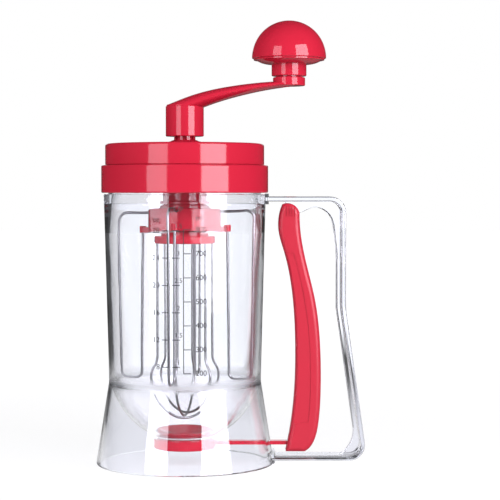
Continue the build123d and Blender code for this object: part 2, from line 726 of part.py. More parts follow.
panel_edge = [(x - PANEL_BACK, z) for x, z in back_edge]
with BuildSketch() as trigger_panel:
    with BuildLine():
        Spline(*panel_edge)
        Polyline(
            panel_edge[-1],
            (-FOOT_R, panel_edge[-1][1]),
            (-FOOT_R, panel_edge[0][1] - PANEL_BACK),
            panel_edge[0],
        )
    make_face()

with BuildSketch() as trigger_ribs:
    with Locations(*((0, -place * TRIGGER_L) for place in RIB_PLACES)):
        Rectangle(2 * FOOT_R, TRIGGER_RIB_T)
    add(trigger_outline.sketch, mode=Mode.INTERSECT)
    with Locations((-TRIGGER_RIB_DROP, 0)):
        add(trigger_outline.sketch, mode=Mode.INTERSECT)

with BuildPart() as trigger:
    with BuildSketch(TRIGGER_PLANE.offset(-TRIGGER_W / 2)):
        add(trigger_outline.sketch)
    extrude(amount=TRIGGER_W)
    fillet(trigger.faces().filter_by(Axis.Y).edges(), TRIGGER_ROUND)
    with BuildSketch(TRIGGER_PLANE):
        with Locations((TRIGGER_FRONT_WALL, 0)):
            add(trigger_outline.sketch)
        with Locations((0, CORE_TOP)):
            core_h = CORE_TOP + CORE_END * TRIGGER_L
            Rectangle(2 * FOOT_R, core_h, align=(Align.CENTER, Align.MAX), mode=Mode.INTERSECT)
    extrude(amount=TRIGGER_CORE_W / 2, both=True, mode=Mode.SUBTRACT)
    with BuildSketch(TRIGGER_PLANE):
        add(trigger_ribs.sketch)
    extrude(amount=TRIGGER_CORE_W / 2 + FIT_GAP, both=True)
    with BuildSketch(TRIGGER_PLANE):
        with Locations((-TAB_R - PASS_GAP, 0)):
            Rectangle(2 * TRIGGER_W, CORE_TOP, align=(Align.MIN, Align.MIN))
    extrude(amount=TRIGGER_CORE_W / 2, both=True, mode=Mode.SUBTRACT)
    with BuildSketch(TRIGGER_PLANE.offset(TRIGGER_W / 2 - PIVOT_COVER)):
        Circle(PIVOT_R + PIN_GAP)
    extrude(amount=-2 * TRIGGER_W, mode=Mode.SUBTRACT)
    for side in (1, -1):
        with BuildSketch(TRIGGER_PLANE.offset(side * (TRIGGER_W / 2 - PANEL_DEPTH))):
            add(trigger_panel.sketch)
        extrude(amount=side * TRIGGER_W, mode=Mode.SUBTRACT)
        with BuildSketch(TRIGGER_PLANE.offset(side * (TRIGGER_W / 2 - CAP_DEPTH))):
            with Locations((0, -CAP_DROP)):
                with GridLocations(CAP_GROOVE_PITCH, 0, CAP_GROOVES, 1):
                    Rectangle(CAP_GROOVE_W, TRIGGER_W, align=(Align.CENTER, Align.MIN))
        extrude(amount=side * TRIGGER_W, mode=Mode.SUBTRACT)
    with BuildSketch(level(0)):
        with Locations((LINK_X, 0)):
            Rectangle(2 * (LINK_R + LINK_GAP), LINK_W + 2 * PASS_GAP)
            Rectangle(2 * TRIGGER_W, ROD_W + 2 * PASS_GAP, align=(Align.MAX, Align.CENTER))
    extrude(amount=GATE_Z + LINK_R + LINK_RISE, mode=Mode.SUBTRACT)
trigger.part.label = "trigger"
export_step(trigger.part, "parts/trigger.step")

with BuildPart() as trigger_pin:
    with BuildSketch(TRIGGER_PLANE.offset(TRIGGER_W / 2 - PIVOT_COVER - PIN_GAP)):
        Circle(PIVOT_R)
    extrude(amount=-(TRIGGER_W + RUN_GAP - PIVOT_COVER - PIN_GAP))
    chamfer(trigger_pin.edges().filter_by(GeomType.CIRCLE), PIVOT_R * TIP_CHAMFER / 2)
trigger_pin.part.label = "trigger_pin"
export_step(trigger_pin.part, "parts/trigger_pin.step")

# Return spring: coil on the pivot pin, one leg under the strap, one on the trigger's front wall
SPRING_PITCH = 2 * SPRING_WIRE_R + PIN_GAP
SPRING_Y = WEB_T / 2 + RUN_GAP + SPRING_WIRE_R
SPRING_ANGLE = 6.0
SPRING_PLANE = Plane(
    origin=(PIVOT_X, SPRING_Y, PIVOT_Z),
    x_dir=(-cos(radians(SPRING_ANGLE)), 0, sin(radians(SPRING_ANGLE))),
    z_dir=(0, 1, 0),
)

coil = SPRING_PLANE * Helix(SPRING_PITCH, SPRING_PITCH * SPRING_TURNS, SPRING_R)
lower, upper = coil @ 0, coil @ 1
down, up = -(coil % 0), coil % 1

with BuildPart() as trigger_spring:
    with BuildSketch(Plane(origin=lower, z_dir=-down)):
        Circle(SPRING_WIRE_R)
    sweep(path=coil, is_frenet=True)
    reach = (STRAP_UNDER_Z - PIN_GAP - SPRING_WIRE_R - upper.Z) / up.Z
    for foot, along, length in ((lower, down, SPRING_FOOT), (upper, up, reach)):
        with BuildSketch(Plane(origin=foot, z_dir=along)):
            Circle(SPRING_WIRE_R)
        extrude(amount=length)
trigger_spring.part.label = "trigger_spring"
export_step(trigger_spring.part, "parts/trigger_spring.step")

# Collar that locks the lid on the jug
FLANGE_BORE_R = CAP_SPIGOT_R + RUN_GAP
COLLAR_LUG_TOP_Z = LUG_LOW_Z - PASS_GAP

with BuildPart() as lid_collar:
    with BuildSketch(Plane.XZ) as collar_profile:
        with BuildLine():
            Polyline(
                (COLLAR_BORE_R, COLLAR_LOW_Z),
                (COLLAR_R, COLLAR_LOW_Z),
                (COLLAR_R, COLLAR_TOP_Z),
                (FLANGE_BORE_R, COLLAR_TOP_Z),
                (FLANGE_BORE_R, FLANGE_LOW_Z),
                (COLLAR_BORE_R, FLANGE_LOW_Z),
                close=True,
            )
        make_face()
        for corner in ((COLLAR_R, COLLAR_LOW_Z), (COLLAR_R, COLLAR_TOP_Z)):
            fillet(collar_profile.vertices().sort_by_distance(corner)[0], COLLAR_ROUND)
    revolve(axis=Axis.Z)
    with BuildSketch(level(COLLAR_LUG_TOP_Z - LUG_H)):
        for lug in range(LUG_COUNT):
            turn = (lug + 0.5) * 360 / LUG_COUNT
            lug_root_r = COLLAR_BORE_R + COLLAR_WALL / 2
            add(ring_sector(COLLAR_BORE_R - LUG_DEPTH, lug_root_r, turn, COLLAR_LUG_ANGLE))
    extrude(amount=LUG_H)
lid_collar.part.label = "lid_collar"
export_step(lid_collar.part, "parts/lid_collar.step")

# Lid cap: roof of the gearbox, with the bearing of the spindle and bosses for pins and screws
CAP_BORE_R = SPLINE_R + 2 * PIN_GAP
CAP_INNER_R = CAP_R - CAP_WALL
CAP_LEDGE_Z = CAP_LOW_Z + CAP_WALL
WASHER_T = 0.6
BEARING_R = 10.5
BEARING_LOW_Z = GEAR_TOP_Z + WASHER_T + 2 * PIN_GAP
BOSS_TIP_R = SPLINE_R + BOSS_LIP
GEARBOX_SCREW_TURN = 180 / PLANET_COUNT
GEARBOX_SCREW_L = 8.0

with BuildPart() as lid_cap:
    with BuildSketch(Plane.XZ) as cap_profile:
        with BuildLine():
            Polyline(
                (CAP_BORE_R, BEARING_LOW_Z),
                (BEARING_R, BEARING_LOW_Z),
                (BEARING_R, CAP_ROOF_Z),
                (CAP_INNER_R, CAP_ROOF_Z),
                (CAP_INNER_R, CAP_LEDGE_Z),
                (CAP_LEDGE_R, CAP_LEDGE_Z),
                (CAP_LEDGE_R, FLOOR_TOP_Z),
                (CAP_SPIGOT_R, FLOOR_TOP_Z),
                (CAP_SPIGOT_R, CAP_LOW_Z),
                (CAP_R, CAP_LOW_Z),
                (CAP_R, CAP_TOP_Z),
                (BOSS_R, CAP_TOP_Z),
                (BOSS_TIP_R, BOSS_TOP_Z),
                (CAP_BORE_R, BOSS_TOP_Z),
                close=True,
            )
        make_face()
        fillet(cap_profile.vertices().sort_by_distance((CAP_R, CAP_TOP_Z))[0], CAP_ROUND)
        fillet(cap_profile.vertices().sort_by_distance((BOSS_R, CAP_TOP_Z))[0], CAP_ROUND)
        fillet(cap_profile.vertices().sort_by_distance((CAP_R, CAP_LOW_Z))[0], COLLAR_ROUND / 2)
    revolve(axis=Axis.Z)
    with BuildSketch(level(CAP_ROOF_Z)):
        with PolarLocations(PLANET_AT, PLANET_COUNT):
            Circle(PLANET_BOSS_R)
    extrude(amount=GEAR_TOP_Z + PASS_GAP - CAP_ROOF_Z)
    with BuildSketch(level(CAP_ROOF_Z)):
        with PolarLocations(GEARBOX_BOSS_AT, PLANET_COUNT, start_angle=GEARBOX_SCREW_TURN):
            Circle(GEARBOX_BOSS_R)
    extrude(amount=FLOOR_TOP_Z - CAP_ROOF_Z)
    with BuildSketch(level(CAP_ROOF_Z)):
        with PolarLocations(PLANET_AT, PLANET_COUNT):
            Circle(PLANET_PIN_R + FIT_GAP)
    extrude(amount=GEAR_TOP_Z - CAP_ROOF_Z, mode=Mode.SUBTRACT)
    with BuildSketch(level(FLOOR_TOP_Z)):
        with PolarLocations(GEARBOX_BOSS_AT, PLANET_COUNT, start_angle=GEARBOX_SCREW_TURN):
            Circle(GEARBOX_SCREW_R + FIT_GAP)
    extrude(amount=GEARBOX_SCREW_L, mode=Mode.SUBTRACT)
lid_cap.part.label = "lid_cap"
export_step(lid_cap.part, "parts/lid_cap.step")

# Floor of the gearbox, which also keeps the collar on the cap
GEARBOX_HEAD_R = 2.6
GEARBOX_HEAD_H = 1.1

with BuildPart() as gearbox_floor:
    with BuildSketch(level(FLOOR_LOW_Z)):
        Circle(FLOOR_R)
        Circle(TUBE_R + RUN_GAP, mode=Mode.SUBTRACT)
        with PolarLocations(GEARBOX_BOSS_AT, PLANET_COUNT, start_angle=GEARBOX_SCREW_TURN):
            Circle(GEARBOX_SCREW_R + PIN_GAP, mode=Mode.SUBTRACT)
    extrude(amount=FLOOR_T)
    with BuildSketch(level(FLOOR_LOW_Z)):
        with PolarLocations(GEARBOX_BOSS_AT, PLANET_COUNT, start_angle=GEARBOX_SCREW_TURN):
            Circle(GEARBOX_HEAD_R + PIN_GAP)
    extrude(amount=GEARBOX_HEAD_H, mode=Mode.SUBTRACT)
gearbox_floor.part.label = "gearbox_floor"
export_step(gearbox_floor.part, "parts/gearbox_floor.step")

gearbox_screw = pan_screw(GEARBOX_HEAD_R, GEARBOX_HEAD_H, GEARBOX_SCREW_R, GEARBOX_SCREW_L)
with BuildPart(level(FLOOR_LOW_Z)) as gearbox_screws:
    with PolarLocations(GEARBOX_BOSS_AT, PLANET_COUNT, start_angle=GEARBOX_SCREW_TURN):
        add(gearbox_screw)
gearbox_screws.part.label = "gearbox_screws"
export_step(gearbox_screws.part, "parts/gearbox_screws.step")

# Gasket under the gearbox floor, with a lip that goes into the jug's neck
GASKET_LIP_R = NECK_BORE_R - PASS_GAP

with BuildPart() as lid_gasket:
    with BuildSketch(Plane.XZ):
        with BuildLine():
            Polyline(
                (GASKET_LIP_R - GASKET_LIP, FLOOR_LOW_Z),
                (FLOOR_R - GASKET_LIP, FLOOR_LOW_Z),
                (FLOOR_R - GASKET_LIP, FLOOR_LOW_Z - GASKET_T),
                (GASKET_LIP_R, FLOOR_LOW_Z - GASKET_T),
                (GASKET_LIP_R, FLOOR_LOW_Z - GASKET_LIP_H),
                (GASKET_LIP_R - GASKET_LIP, FLOOR_LOW_Z - GASKET_LIP_H),
                close=True,
            )
        make_face()
    revolve(axis=Axis.Z)
lid_gasket.part.label = "lid_gasket"
export_step(lid_gasket.part, "parts/lid_gasket.step")

# Gears: sun on the spindle, planets on steel pins, ring around them
SUN_PITCH_R = MODULE * SUN_TEETH / 2
PLANET_PITCH_R = MODULE * PLANET_TEETH / 2
sun_outline = gear_outline(SUN_TEETH, SUN_PITCH_R + ADDENDUM, SUN_PITCH_R - DEDENDUM, -FLANK_GAP)
planet_outline = gear_outline(PLANET_TEETH, PLANET_PITCH_R + ADDENDUM, PLANET_PITCH_R - DEDENDUM, -FLANK_GAP)
ring_outline = gear_outline(RING_TEETH, RING_PITCH_R + DEDENDUM, RING_PITCH_R - ADDENDUM, FLANK_GAP)

with BuildPart() as sun_gear:
    with BuildSketch(level(GEAR_LOW_Z)):
        add(sun_outline)
        RegularPolygon(SUN_SEAT_AF / 2 + FIT_GAP, 6, major_radius=False, mode=Mode.SUBTRACT)
    extrude(amount=GEAR_FACE)
sun_gear.part.label = "sun_gear"
export_step(sun_gear.part, "parts/sun_gear.step")

for planet in range(PLANET_COUNT):
    orbit = planet * 360 / PLANET_COUNT
    name = f"planet_gear_{planet + 1}"
    with BuildPart() as planet_gear:
        with BuildSketch(level(GEAR_LOW_Z)):
            with Locations(polar(PLANET_AT, orbit)):
                add(planet_outline, rotation=180 / PLANET_TEETH + orbit * (1 + SUN_TEETH / PLANET_TEETH))
                Circle(PLANET_PIN_R + PIN_GAP, mode=Mode.SUBTRACT)
        extrude(amount=GEAR_FACE)
    planet_gear.part.label = name
    export_step(planet_gear.part, f"parts/{name}.step")

with BuildPart() as planet_pins:
    with BuildSketch(level(GEAR_LOW_Z)):
        with PolarLocations(PLANET_AT, PLANET_COUNT):
            Circle(PLANET_PIN_R)
    extrude(amount=CAP_ROOF_Z - PIN_GAP - GEAR_LOW_Z)
planet_pins.part.label = "planet_pins"
export_step(planet_pins.part, "parts/planet_pins.step")

with BuildPart() as sun_washer:
    with BuildSketch(level(GEAR_TOP_Z + PIN_GAP)):
        Circle(BEARING_R)
        Circle(CAP_BORE_R, mode=Mode.SUBTRACT)
    extrude(amount=WASHER_T)
sun_washer.part.label = "sun_washer"
export_step(sun_washer.part, "parts/sun_washer.step")

# Ring gear: cup with inner teeth, and the tube that carries the frame hub
HUB_SCREW_R = 1.2
HUB_HEAD_R = 2.2
HUB_HEAD_H = 1.4
HUB_SCREW_L = 8.0
HUB_SCREW_COUNT = 3
HUB_SCREW_Z = FRAME_HUB_Z + PIN_GAP

with BuildPart() as ring_gear:
    with BuildSketch(level(RING_LOW_Z)):
        Circle(RING_R)
    extrude(amount=GEAR_TOP_Z - RING_LOW_Z)
    with BuildSketch(level(RING_FLOOR_Z)):
        add(ring_outline, rotation=180 / RING_TEETH)
    extrude(amount=GEAR_TOP_Z, mode=Mode.SUBTRACT)
    with BuildSketch(level(RING_LOW_Z)):
        Circle(TUBE_R)
    extrude(amount=FRAME_LIP_TOP_Z - RING_LOW_Z)
    with BuildSketch(level(FRAME_LIP_TOP_Z)):
        Circle(TUBE_R)
        Rectangle(2 * TUBE_FLAT, 2 * TUBE_R, mode=Mode.INTERSECT)
    extrude(amount=TUBE_LOW_Z - FRAME_LIP_TOP_Z)
    with BuildSketch(level(TUBE_LOW_Z)):
        Circle(SHAFT_R + RUN_GAP)
    extrude(amount=GEAR_TOP_Z, mode=Mode.SUBTRACT)
    with BuildSketch(level(TUBE_LOW_Z)):
        with PolarLocations(HUB_SCREW_AT, HUB_SCREW_COUNT):
            Circle(HUB_SCREW_R + FIT_GAP)
    extrude(amount=HUB_SCREW_L, mode=Mode.SUBTRACT)
ring_gear.part.label = "ring_gear"
export_step(ring_gear.part, "parts/ring_gear.step")

# Frame hub with four arms, which hold the ends of the wire loops
FRAME_WIRE_Z = FRAME_HUB_TOP_Z - FRAME_WIRE_DROP
FRAME_TURNS = [FRAME_ANGLE + loop * 360 / FRAME_COUNT for loop in range(FRAME_COUNT)]

with BuildPart() as frame_hub:
    with BuildSketch(level(FRAME_HUB_Z)):
        Circle(FRAME_HUB_R)
    extrude(amount=FRAME_HUB_H)
    fillet(frame_hub.edges().sort_by(Axis.Z)[-1], JUG_ROUND)
    with BuildSketch(level(FRAME_HUB_TOP_Z)):
        Circle(FRAME_LIP_R)
    extrude(amount=FRAME_LIP_H)
    fillet(frame_hub.edges().sort_by(Axis.Z)[-1], JUG_ROUND)
    with BuildSketch(level(FRAME_HUB_Z)):
        with PolarLocations(0, FRAME_COUNT, start_angle=FRAME_ANGLE):
            Rectangle(FRAME_LEG_TOP_R, FRAME_ARM_W, align=(Align.MIN, Align.CENTER))
    extrude(amount=FRAME_ARM_H)
    with BuildSketch(level(FRAME_HUB_Z)):
        with PolarLocations(FRAME_LEG_TOP_R, FRAME_COUNT, start_angle=FRAME_ANGLE):
            Circle(FRAME_ARM_W / 2 + PIN_GAP)
    extrude(amount=FRAME_BLOCK_H)
    with BuildSketch(level(FRAME_HUB_Z + HUB_FLOOR_T)):
        Circle(TUBE_R + FIT_GAP)
        Rectangle(2 * (TUBE_FLAT + FIT_GAP), 3 * TUBE_R, mode=Mode.INTERSECT)
    extrude(amount=FRAME_LIP_TOP_Z, mode=Mode.SUBTRACT)
    with BuildSketch(level(FRAME_HUB_Z)):
        Circle(SHAFT_R + RUN_GAP)
        with PolarLocations(HUB_SCREW_AT, HUB_SCREW_COUNT):
            Circle(HUB_SCREW_R + PIN_GAP)
    extrude(amount=HUB_FLOOR_T, mode=Mode.SUBTRACT)
    with BuildSketch(level(FRAME_HUB_Z)):
        with PolarLocations(HUB_SCREW_AT, HUB_SCREW_COUNT):
            Circle(HUB_HEAD_R + PIN_GAP)
    extrude(amount=HUB_SCREW_Z + HUB_HEAD_H - FRAME_HUB_Z, mode=Mode.SUBTRACT)
    with BuildSketch(level(FRAME_HUB_Z)):
        with PolarLocations(FRAME_LEG_TOP_R, FRAME_COUNT, start_angle=FRAME_ANGLE):
            Circle(FRAME_WIRE_R + PIN_GAP)
    extrude(amount=WIRE_SOCKET, mode=Mode.SUBTRACT)
    for angle in FRAME_TURNS:
        side = (*polar(FRAME_HUB_R - WIRE_SOCKET, angle), FRAME_WIRE_Z)
        with BuildSketch(Plane(origin=side, z_dir=(*polar(1, angle), 0))):
            Circle(FRAME_WIRE_R + FIT_GAP)
        extrude(amount=2 * WIRE_SOCKET, mode=Mode.SUBTRACT)
frame_hub.part.label = "frame_hub"
export_step(frame_hub.part, "parts/frame_hub.step")

hub_screw = pan_screw(HUB_HEAD_R, HUB_HEAD_H, HUB_SCREW_R, HUB_SCREW_L)
with BuildPart(level(HUB_SCREW_Z)) as hub_screws:
    with PolarLocations(HUB_SCREW_AT, HUB_SCREW_COUNT):
        add(hub_screw)
hub_screws.part.label = "hub_screws"
export_step(hub_screws.part, "parts/hub_screws.step")

# Wire loops of the frame
for loop, angle in enumerate(FRAME_TURNS):
    name = f"frame_loop_{loop + 1}"
    with BuildPart() as frame_loop:
        with BuildLine(radial_plane(angle)) as wire:
            FilletPolyline(
                (FRAME_HUB_R - WIRE_SOCKET + FIT_GAP, FRAME_WIRE_Z),
                (FRAME_TOP_R, FRAME_WIRE_Z),
                (FRAME_LOW_R, FRAME_LOW_Z),
                (FRAME_LEG_LOW_R, FRAME_LOW_Z),
                (FRAME_LEG_TOP_R, FRAME_HUB_Z + WIRE_SOCKET - PIN_GAP),
                radius=(FRAME_TOP_ROUND, FRAME_LOW_ROUND, FRAME_LOW_ROUND),
            )
        with BuildSketch(Plane(origin=wire.line @ 0, z_dir=wire.line % 0)):
            Circle(FRAME_WIRE_R)
        sweep()
    frame_loop.part.label = name
    export_step(frame_loop.part, f"parts/{name}.step")

# Spindle: spline for the crank, journal in the lid, seat of the sun gear, shaft, square for the whisk
WHISK_SCREW_R = 1.5
WHISK_SCREW_L = 9.0
WHISK_HEAD_R = 3.3
WHISK_HEAD_H = 1.6

with BuildPart() as spindle:
    with BuildSketch(level(BOSS_TOP_Z)):
        Circle(SPLINE_R)
        with PolarLocations(SPLINE_R, SPLINE_COUNT):
            Rectangle(2 * SPLINE_DEPTH, SPLINE_GROOVE, mode=Mode.SUBTRACT)
    extrude(amount=SPINDLE_TOP_Z - BOSS_TOP_Z)
    with BuildSketch(level(GEAR_TOP_Z)):
        Circle(SPLINE_R)
    extrude(amount=BOSS_TOP_Z - GEAR_TOP_Z)
    with BuildSketch(level(GEAR_LOW_Z)):
        RegularPolygon(SUN_SEAT_AF / 2, 6, major_radius=False)
    extrude(amount=GEAR_FACE)
    with BuildSketch(level(WHISK_HUB_TOP_Z)):
        Circle(SHAFT_R)
    extrude(amount=GEAR_LOW_Z - WHISK_HUB_TOP_Z)
    with BuildSketch(level(SQUARE_LOW_Z + FIT_GAP)):
        Rectangle(SQUARE_AF, SQUARE_AF)
    extrude(amount=WHISK_HUB_TOP_Z - SQUARE_LOW_Z)
    with BuildSketch(level(SQUARE_LOW_Z)):
        Circle(WHISK_SCREW_R + FIT_GAP)
    extrude(amount=WHISK_SCREW_L, mode=Mode.SUBTRACT)
spindle.part.label = "spindle"
export_step(spindle.part, "parts/spindle.step")

# Whisk hub on the spindle's square, held by a screw from below
WHISK_HEAD_Z = WHISK_HUB_LOW_Z + PIN_GAP
WHISK_TURNS = [WHISK_ANGLE + loop * 180 / WHISK_COUNT for loop in range(WHISK_COUNT)]

with BuildPart() as whisk_hub:
    with BuildSketch(level(WHISK_HUB_LOW_Z)):
        Circle(WHISK_FLANGE_R)
    extrude(amount=WHISK_FLANGE_H)
    fillet(whisk_hub.edges(), JUG_ROUND)
    with BuildSketch(level(WHISK_FLANGE_TOP_Z - JUG_ROUND)):
        Circle(WHISK_NECK_R)
    extrude(amount=WHISK_NECK_H + JUG_ROUND)
    with BuildSketch(level(SQUARE_LOW_Z)):
        Rectangle(SQUARE_AF + 2 * FIT_GAP, SQUARE_AF + 2 * FIT_GAP)
    extrude(amount=WHISK_HUB_TOP_Z, mode=Mode.SUBTRACT)
    with BuildSketch(level(WHISK_HUB_LOW_Z)):
        Circle(WHISK_SCREW_R + PIN_GAP)
    extrude(amount=WHISK_FLANGE_H, mode=Mode.SUBTRACT)
    with BuildSketch(level(WHISK_HUB_LOW_Z)):
        Circle(WHISK_HEAD_R + PIN_GAP)
    extrude(amount=WHISK_HEAD_Z + WHISK_HEAD_H - WHISK_HUB_LOW_Z, mode=Mode.SUBTRACT)
    with BuildSketch(level(WHISK_HUB_LOW_Z)):
        with PolarLocations(WHISK_LEG_R, 2 * WHISK_COUNT, start_angle=WHISK_ANGLE):
            Circle(WHISK_WIRE_R + FIT_GAP)
    extrude(amount=WIRE_SOCKET, mode=Mode.SUBTRACT)
whisk_hub.part.label = "whisk_hub"
export_step(whisk_hub.part, "parts/whisk_hub.step")

whisk_fixing = pan_screw(WHISK_HEAD_R, WHISK_HEAD_H, WHISK_SCREW_R, WHISK_SCREW_L)
with BuildPart(level(WHISK_HEAD_Z)) as whisk_screw:
    add(whisk_fixing)
whisk_screw.part.label = "whisk_screw"
export_step(whisk_screw.part, "parts/whisk_screw.step")

# Wire loops of the whisk: straight legs, a flare, a round bottom, each loop crossing above the one before
FLARE_TURN = 2 * degrees(atan2(WHISK_FLARE, WHISK_FLARE_H))
FLARE_R = (WHISK_FLARE_H**2 + WHISK_FLARE**2) / (4 * WHISK_FLARE)
WIRE_CROSSING = 2 * WHISK_WIRE_R + RUN_GAP

for loop, angle in enumerate(WHISK_TURNS):
    name = f"whisk_loop_{loop + 1}"
    tip_z = WHISK_LOW_Z + loop * WIRE_CROSSING + WHISK_WIRE_R
    tip_rise = WHISK_BULGE_Z - tip_z - WHISK_TIP_R
    side_r = (WHISK_TIP_R**2 - WHISK_BULGE_R**2 - tip_rise**2) / (2 * (WHISK_TIP_R - WHISK_BULGE_R))
    side_turn = degrees(atan2(tip_rise, side_r - WHISK_BULGE_R))
    with BuildPart() as whisk_loop:
        with BuildLine(radial_plane(angle)) as wire:
            bend = (WHISK_LEG_R, WHISK_BULGE_Z + WHISK_FLARE_H)
            leg = Line((WHISK_LEG_R, WHISK_HUB_LOW_Z + WIRE_SOCKET - FIT_GAP), bend)
            heading = (0, -1)
            arcs = [(FLARE_R, FLARE_TURN), (FLARE_R, -FLARE_TURN), (side_r, -side_turn)]
            arcs = arcs + [(WHISK_TIP_R, 2 * side_turn - 180)] + arcs[::-1]
            for radius, turn in arcs:
                piece = JernArc(bend, heading, radius, turn)
                bend, heading = piece @ 1, piece % 1
            Line(bend, bend + heading * leg.length)
        with BuildSketch(Plane(origin=wire.line @ 0, z_dir=wire.line % 0)):
            Circle(WHISK_WIRE_R)
        sweep()
    whisk_loop.part.label = name
    export_step(whisk_loop.part, f"parts/{name}.step")

# Crank: hub on the spindle's spline, swan-neck arm, eye for the knob
EYE_LOW_Z = EYE_TOP_Z - EYE_H
RIB_SHRINK = 4 * FIT_GAP
KNOB_HEAD_R = 5.0
KNOB_HEAD_H = 1.5
KNOB_HEAD_Z = EYE_LOW_Z + KNOB_HEAD_SUNK
EYE_BORE_Z = KNOB_HEAD_Z + KNOB_HEAD_H + PIN_GAP

with BuildPart() as crank_arm:
    for share, low, high in ARM_SECTIONS:
        middle = (share * CRANK_REACH, 0, CRANK_LOW_Z + (low + high) / 2)
        half_width = CRANK_HUB_R + share * (EYE_R - CRANK_HUB_R) - ARM_STEP
        with BuildSketch(Plane(origin=middle, x_dir=(0, 1, 0), z_dir=(1, 0, 0))):
            Ellipse(half_width, (high - low) / 2)
    loft()
    with BuildSketch(level(CRANK_LOW_Z)):
        Circle(CRANK_HUB_R - ARM_STEP)
        with Locations((CRANK_REACH, 0)):
            Circle(EYE_R - ARM_STEP)
        make_hull()
    extrude(amount=EYE_RISE + EYE_H, mode=Mode.INTERSECT)

with BuildPart() as crank:
    with BuildSketch(level(CRANK_LOW_Z)):
        Circle(CRANK_HUB_R)
    extrude(amount=CRANK_HUB_H)
    with BuildSketch(level(EYE_LOW_Z)):
        with Locations((CRANK_REACH, 0)):
            Circle(EYE_R)
    extrude(amount=EYE_H)
    fillet(crank.edges().filter_by(GeomType.CIRCLE), CRANK_ROUND)
    add(crank_arm.part)
    with BuildSketch(level(CRANK_LOW_Z)):
        Circle(SPLINE_R + FIT_GAP)
        with PolarLocations(SPLINE_R, SPLINE_COUNT):
            Rectangle(2 * SPLINE_DEPTH - RIB_SHRINK, SPLINE_GROOVE - RIB_SHRINK, mode=Mode.SUBTRACT)
    extrude(amount=SPLINE_H + PIN_GAP, mode=Mode.SUBTRACT)
    with BuildSketch(level(CRANK_LOW_Z)):
        with Locations((CRANK_REACH, 0)):
            Circle(KNOB_SCREW_R + PIN_GAP)
    extrude(amount=2 * EYE_TOP_Z, mode=Mode.SUBTRACT)
    with BuildSketch(level(CRANK_LOW_Z)):
        with Locations((CRANK_REACH, 0)):
            Circle(KNOB_HEAD_R + RUN_GAP)
    extrude(amount=EYE_BORE_Z - CRANK_LOW_Z, mode=Mode.SUBTRACT)
crank.part.label = "crank"
export_step(crank.part, "parts/crank.step")

# Knob: stem with a shallow underside, dome on top, washer below, screw from below as its axle
KNOB_PLANE = Plane(origin=(CRANK_REACH, 0, 0), x_dir=(1, 0, 0), z_dir=(0, -1, 0))
KNOB_AXIS = Axis((CRANK_REACH, 0, 0), (0, 0, 1))
KNOB_SPIGOT_RISE = 1.25
KNOB_SPIGOT_H = KNOB_SKIRT_H + KNOB_SPIGOT_RISE
KNOB_SPIGOT_R = sqrt((KNOB_R - KNOB_WALL) ** 2 - KNOB_SPIGOT_RISE**2) - FIT_GAP
DOME_Z = DOME_LOW_Z + KNOB_SKIRT_H
KNOB_SCREW_TIP_Z = DOME_LOW_Z

with BuildPart() as knob_stem:
    with BuildSketch(KNOB_PLANE) as stem_profile:
        with BuildLine():
            Polyline(
                (KNOB_SCREW_R + FIT_GAP, DOME_LOW_Z + KNOB_SPIGOT_H),
                (KNOB_SCREW_R + FIT_GAP, KNOB_LOW_Z),
                (STEM_R, KNOB_LOW_Z),
                (STEM_R, KNOB_UNDER_Z),
            )
            SagittaArc((STEM_R, KNOB_UNDER_Z), (KNOB_UNDER_R, KNOB_RIM_Z), -KNOB_RIM_H)
            Polyline(
                (KNOB_UNDER_R, KNOB_RIM_Z),
                (KNOB_R - KNOB_STEP, KNOB_RIM_Z),
                (KNOB_R - KNOB_STEP, DOME_LOW_Z - FIT_GAP),
                (KNOB_SPIGOT_R, DOME_LOW_Z - FIT_GAP),
                (KNOB_SPIGOT_R, DOME_LOW_Z + KNOB_SPIGOT_H),
                (KNOB_SCREW_R + FIT_GAP, DOME_LOW_Z + KNOB_SPIGOT_H),
            )
        make_face()
        fillet(stem_profile.vertices().sort_by_distance((STEM_R, KNOB_LOW_Z))[0], JUG_ROUND)
    revolve(axis=KNOB_AXIS)
knob_stem.part.label = "knob_stem"
export_step(knob_stem.part, "parts/knob_stem.step")

with BuildPart() as knob_dome:
    with BuildSketch(KNOB_PLANE) as dome_profile:
        with BuildLine():
            CenterArc((0, DOME_Z), KNOB_R, 0, 90)
            CenterArc((0, DOME_Z), KNOB_R - KNOB_WALL, 0, 90)
            Polyline(
                (KNOB_R - KNOB_WALL, DOME_Z),
                (KNOB_R - KNOB_WALL, DOME_LOW_Z),
                (KNOB_R, DOME_LOW_Z),
                (KNOB_R, DOME_Z),
            )
            Line((0, DOME_Z + KNOB_R - KNOB_WALL), (0, DOME_Z + KNOB_R))
        make_face()
        fillet(dome_profile.vertices().sort_by_distance((KNOB_R, DOME_LOW_Z))[0], JUG_ROUND)
    revolve(axis=KNOB_AXIS)
knob_dome.part.label = "knob_dome"
export_step(knob_dome.part, "parts/knob_dome.step")

with BuildPart() as knob_washer:
    with BuildSketch(level(EYE_TOP_Z + FIT_GAP)):
        with Locations((CRANK_REACH, 0)):
            Circle(KNOB_WASHER_R)
            Circle(KNOB_SCREW_R + FIT_GAP, mode=Mode.SUBTRACT)
    extrude(amount=KNOB_WASHER_T)
knob_washer.part.label = "knob_washer"
export_step(knob_washer.part, "parts/knob_washer.step")

knob_fixing = pan_screw(KNOB_HEAD_R, KNOB_HEAD_H, KNOB_SCREW_R, KNOB_SCREW_TIP_Z - KNOB_HEAD_Z - KNOB_HEAD_H)
with BuildPart(level(KNOB_HEAD_Z)) as knob_screw:
    with Locations((CRANK_REACH, 0)):
        add(knob_fixing)
knob_screw.part.label = "knob_screw"
export_step(knob_screw.part, "parts/knob_screw.step")
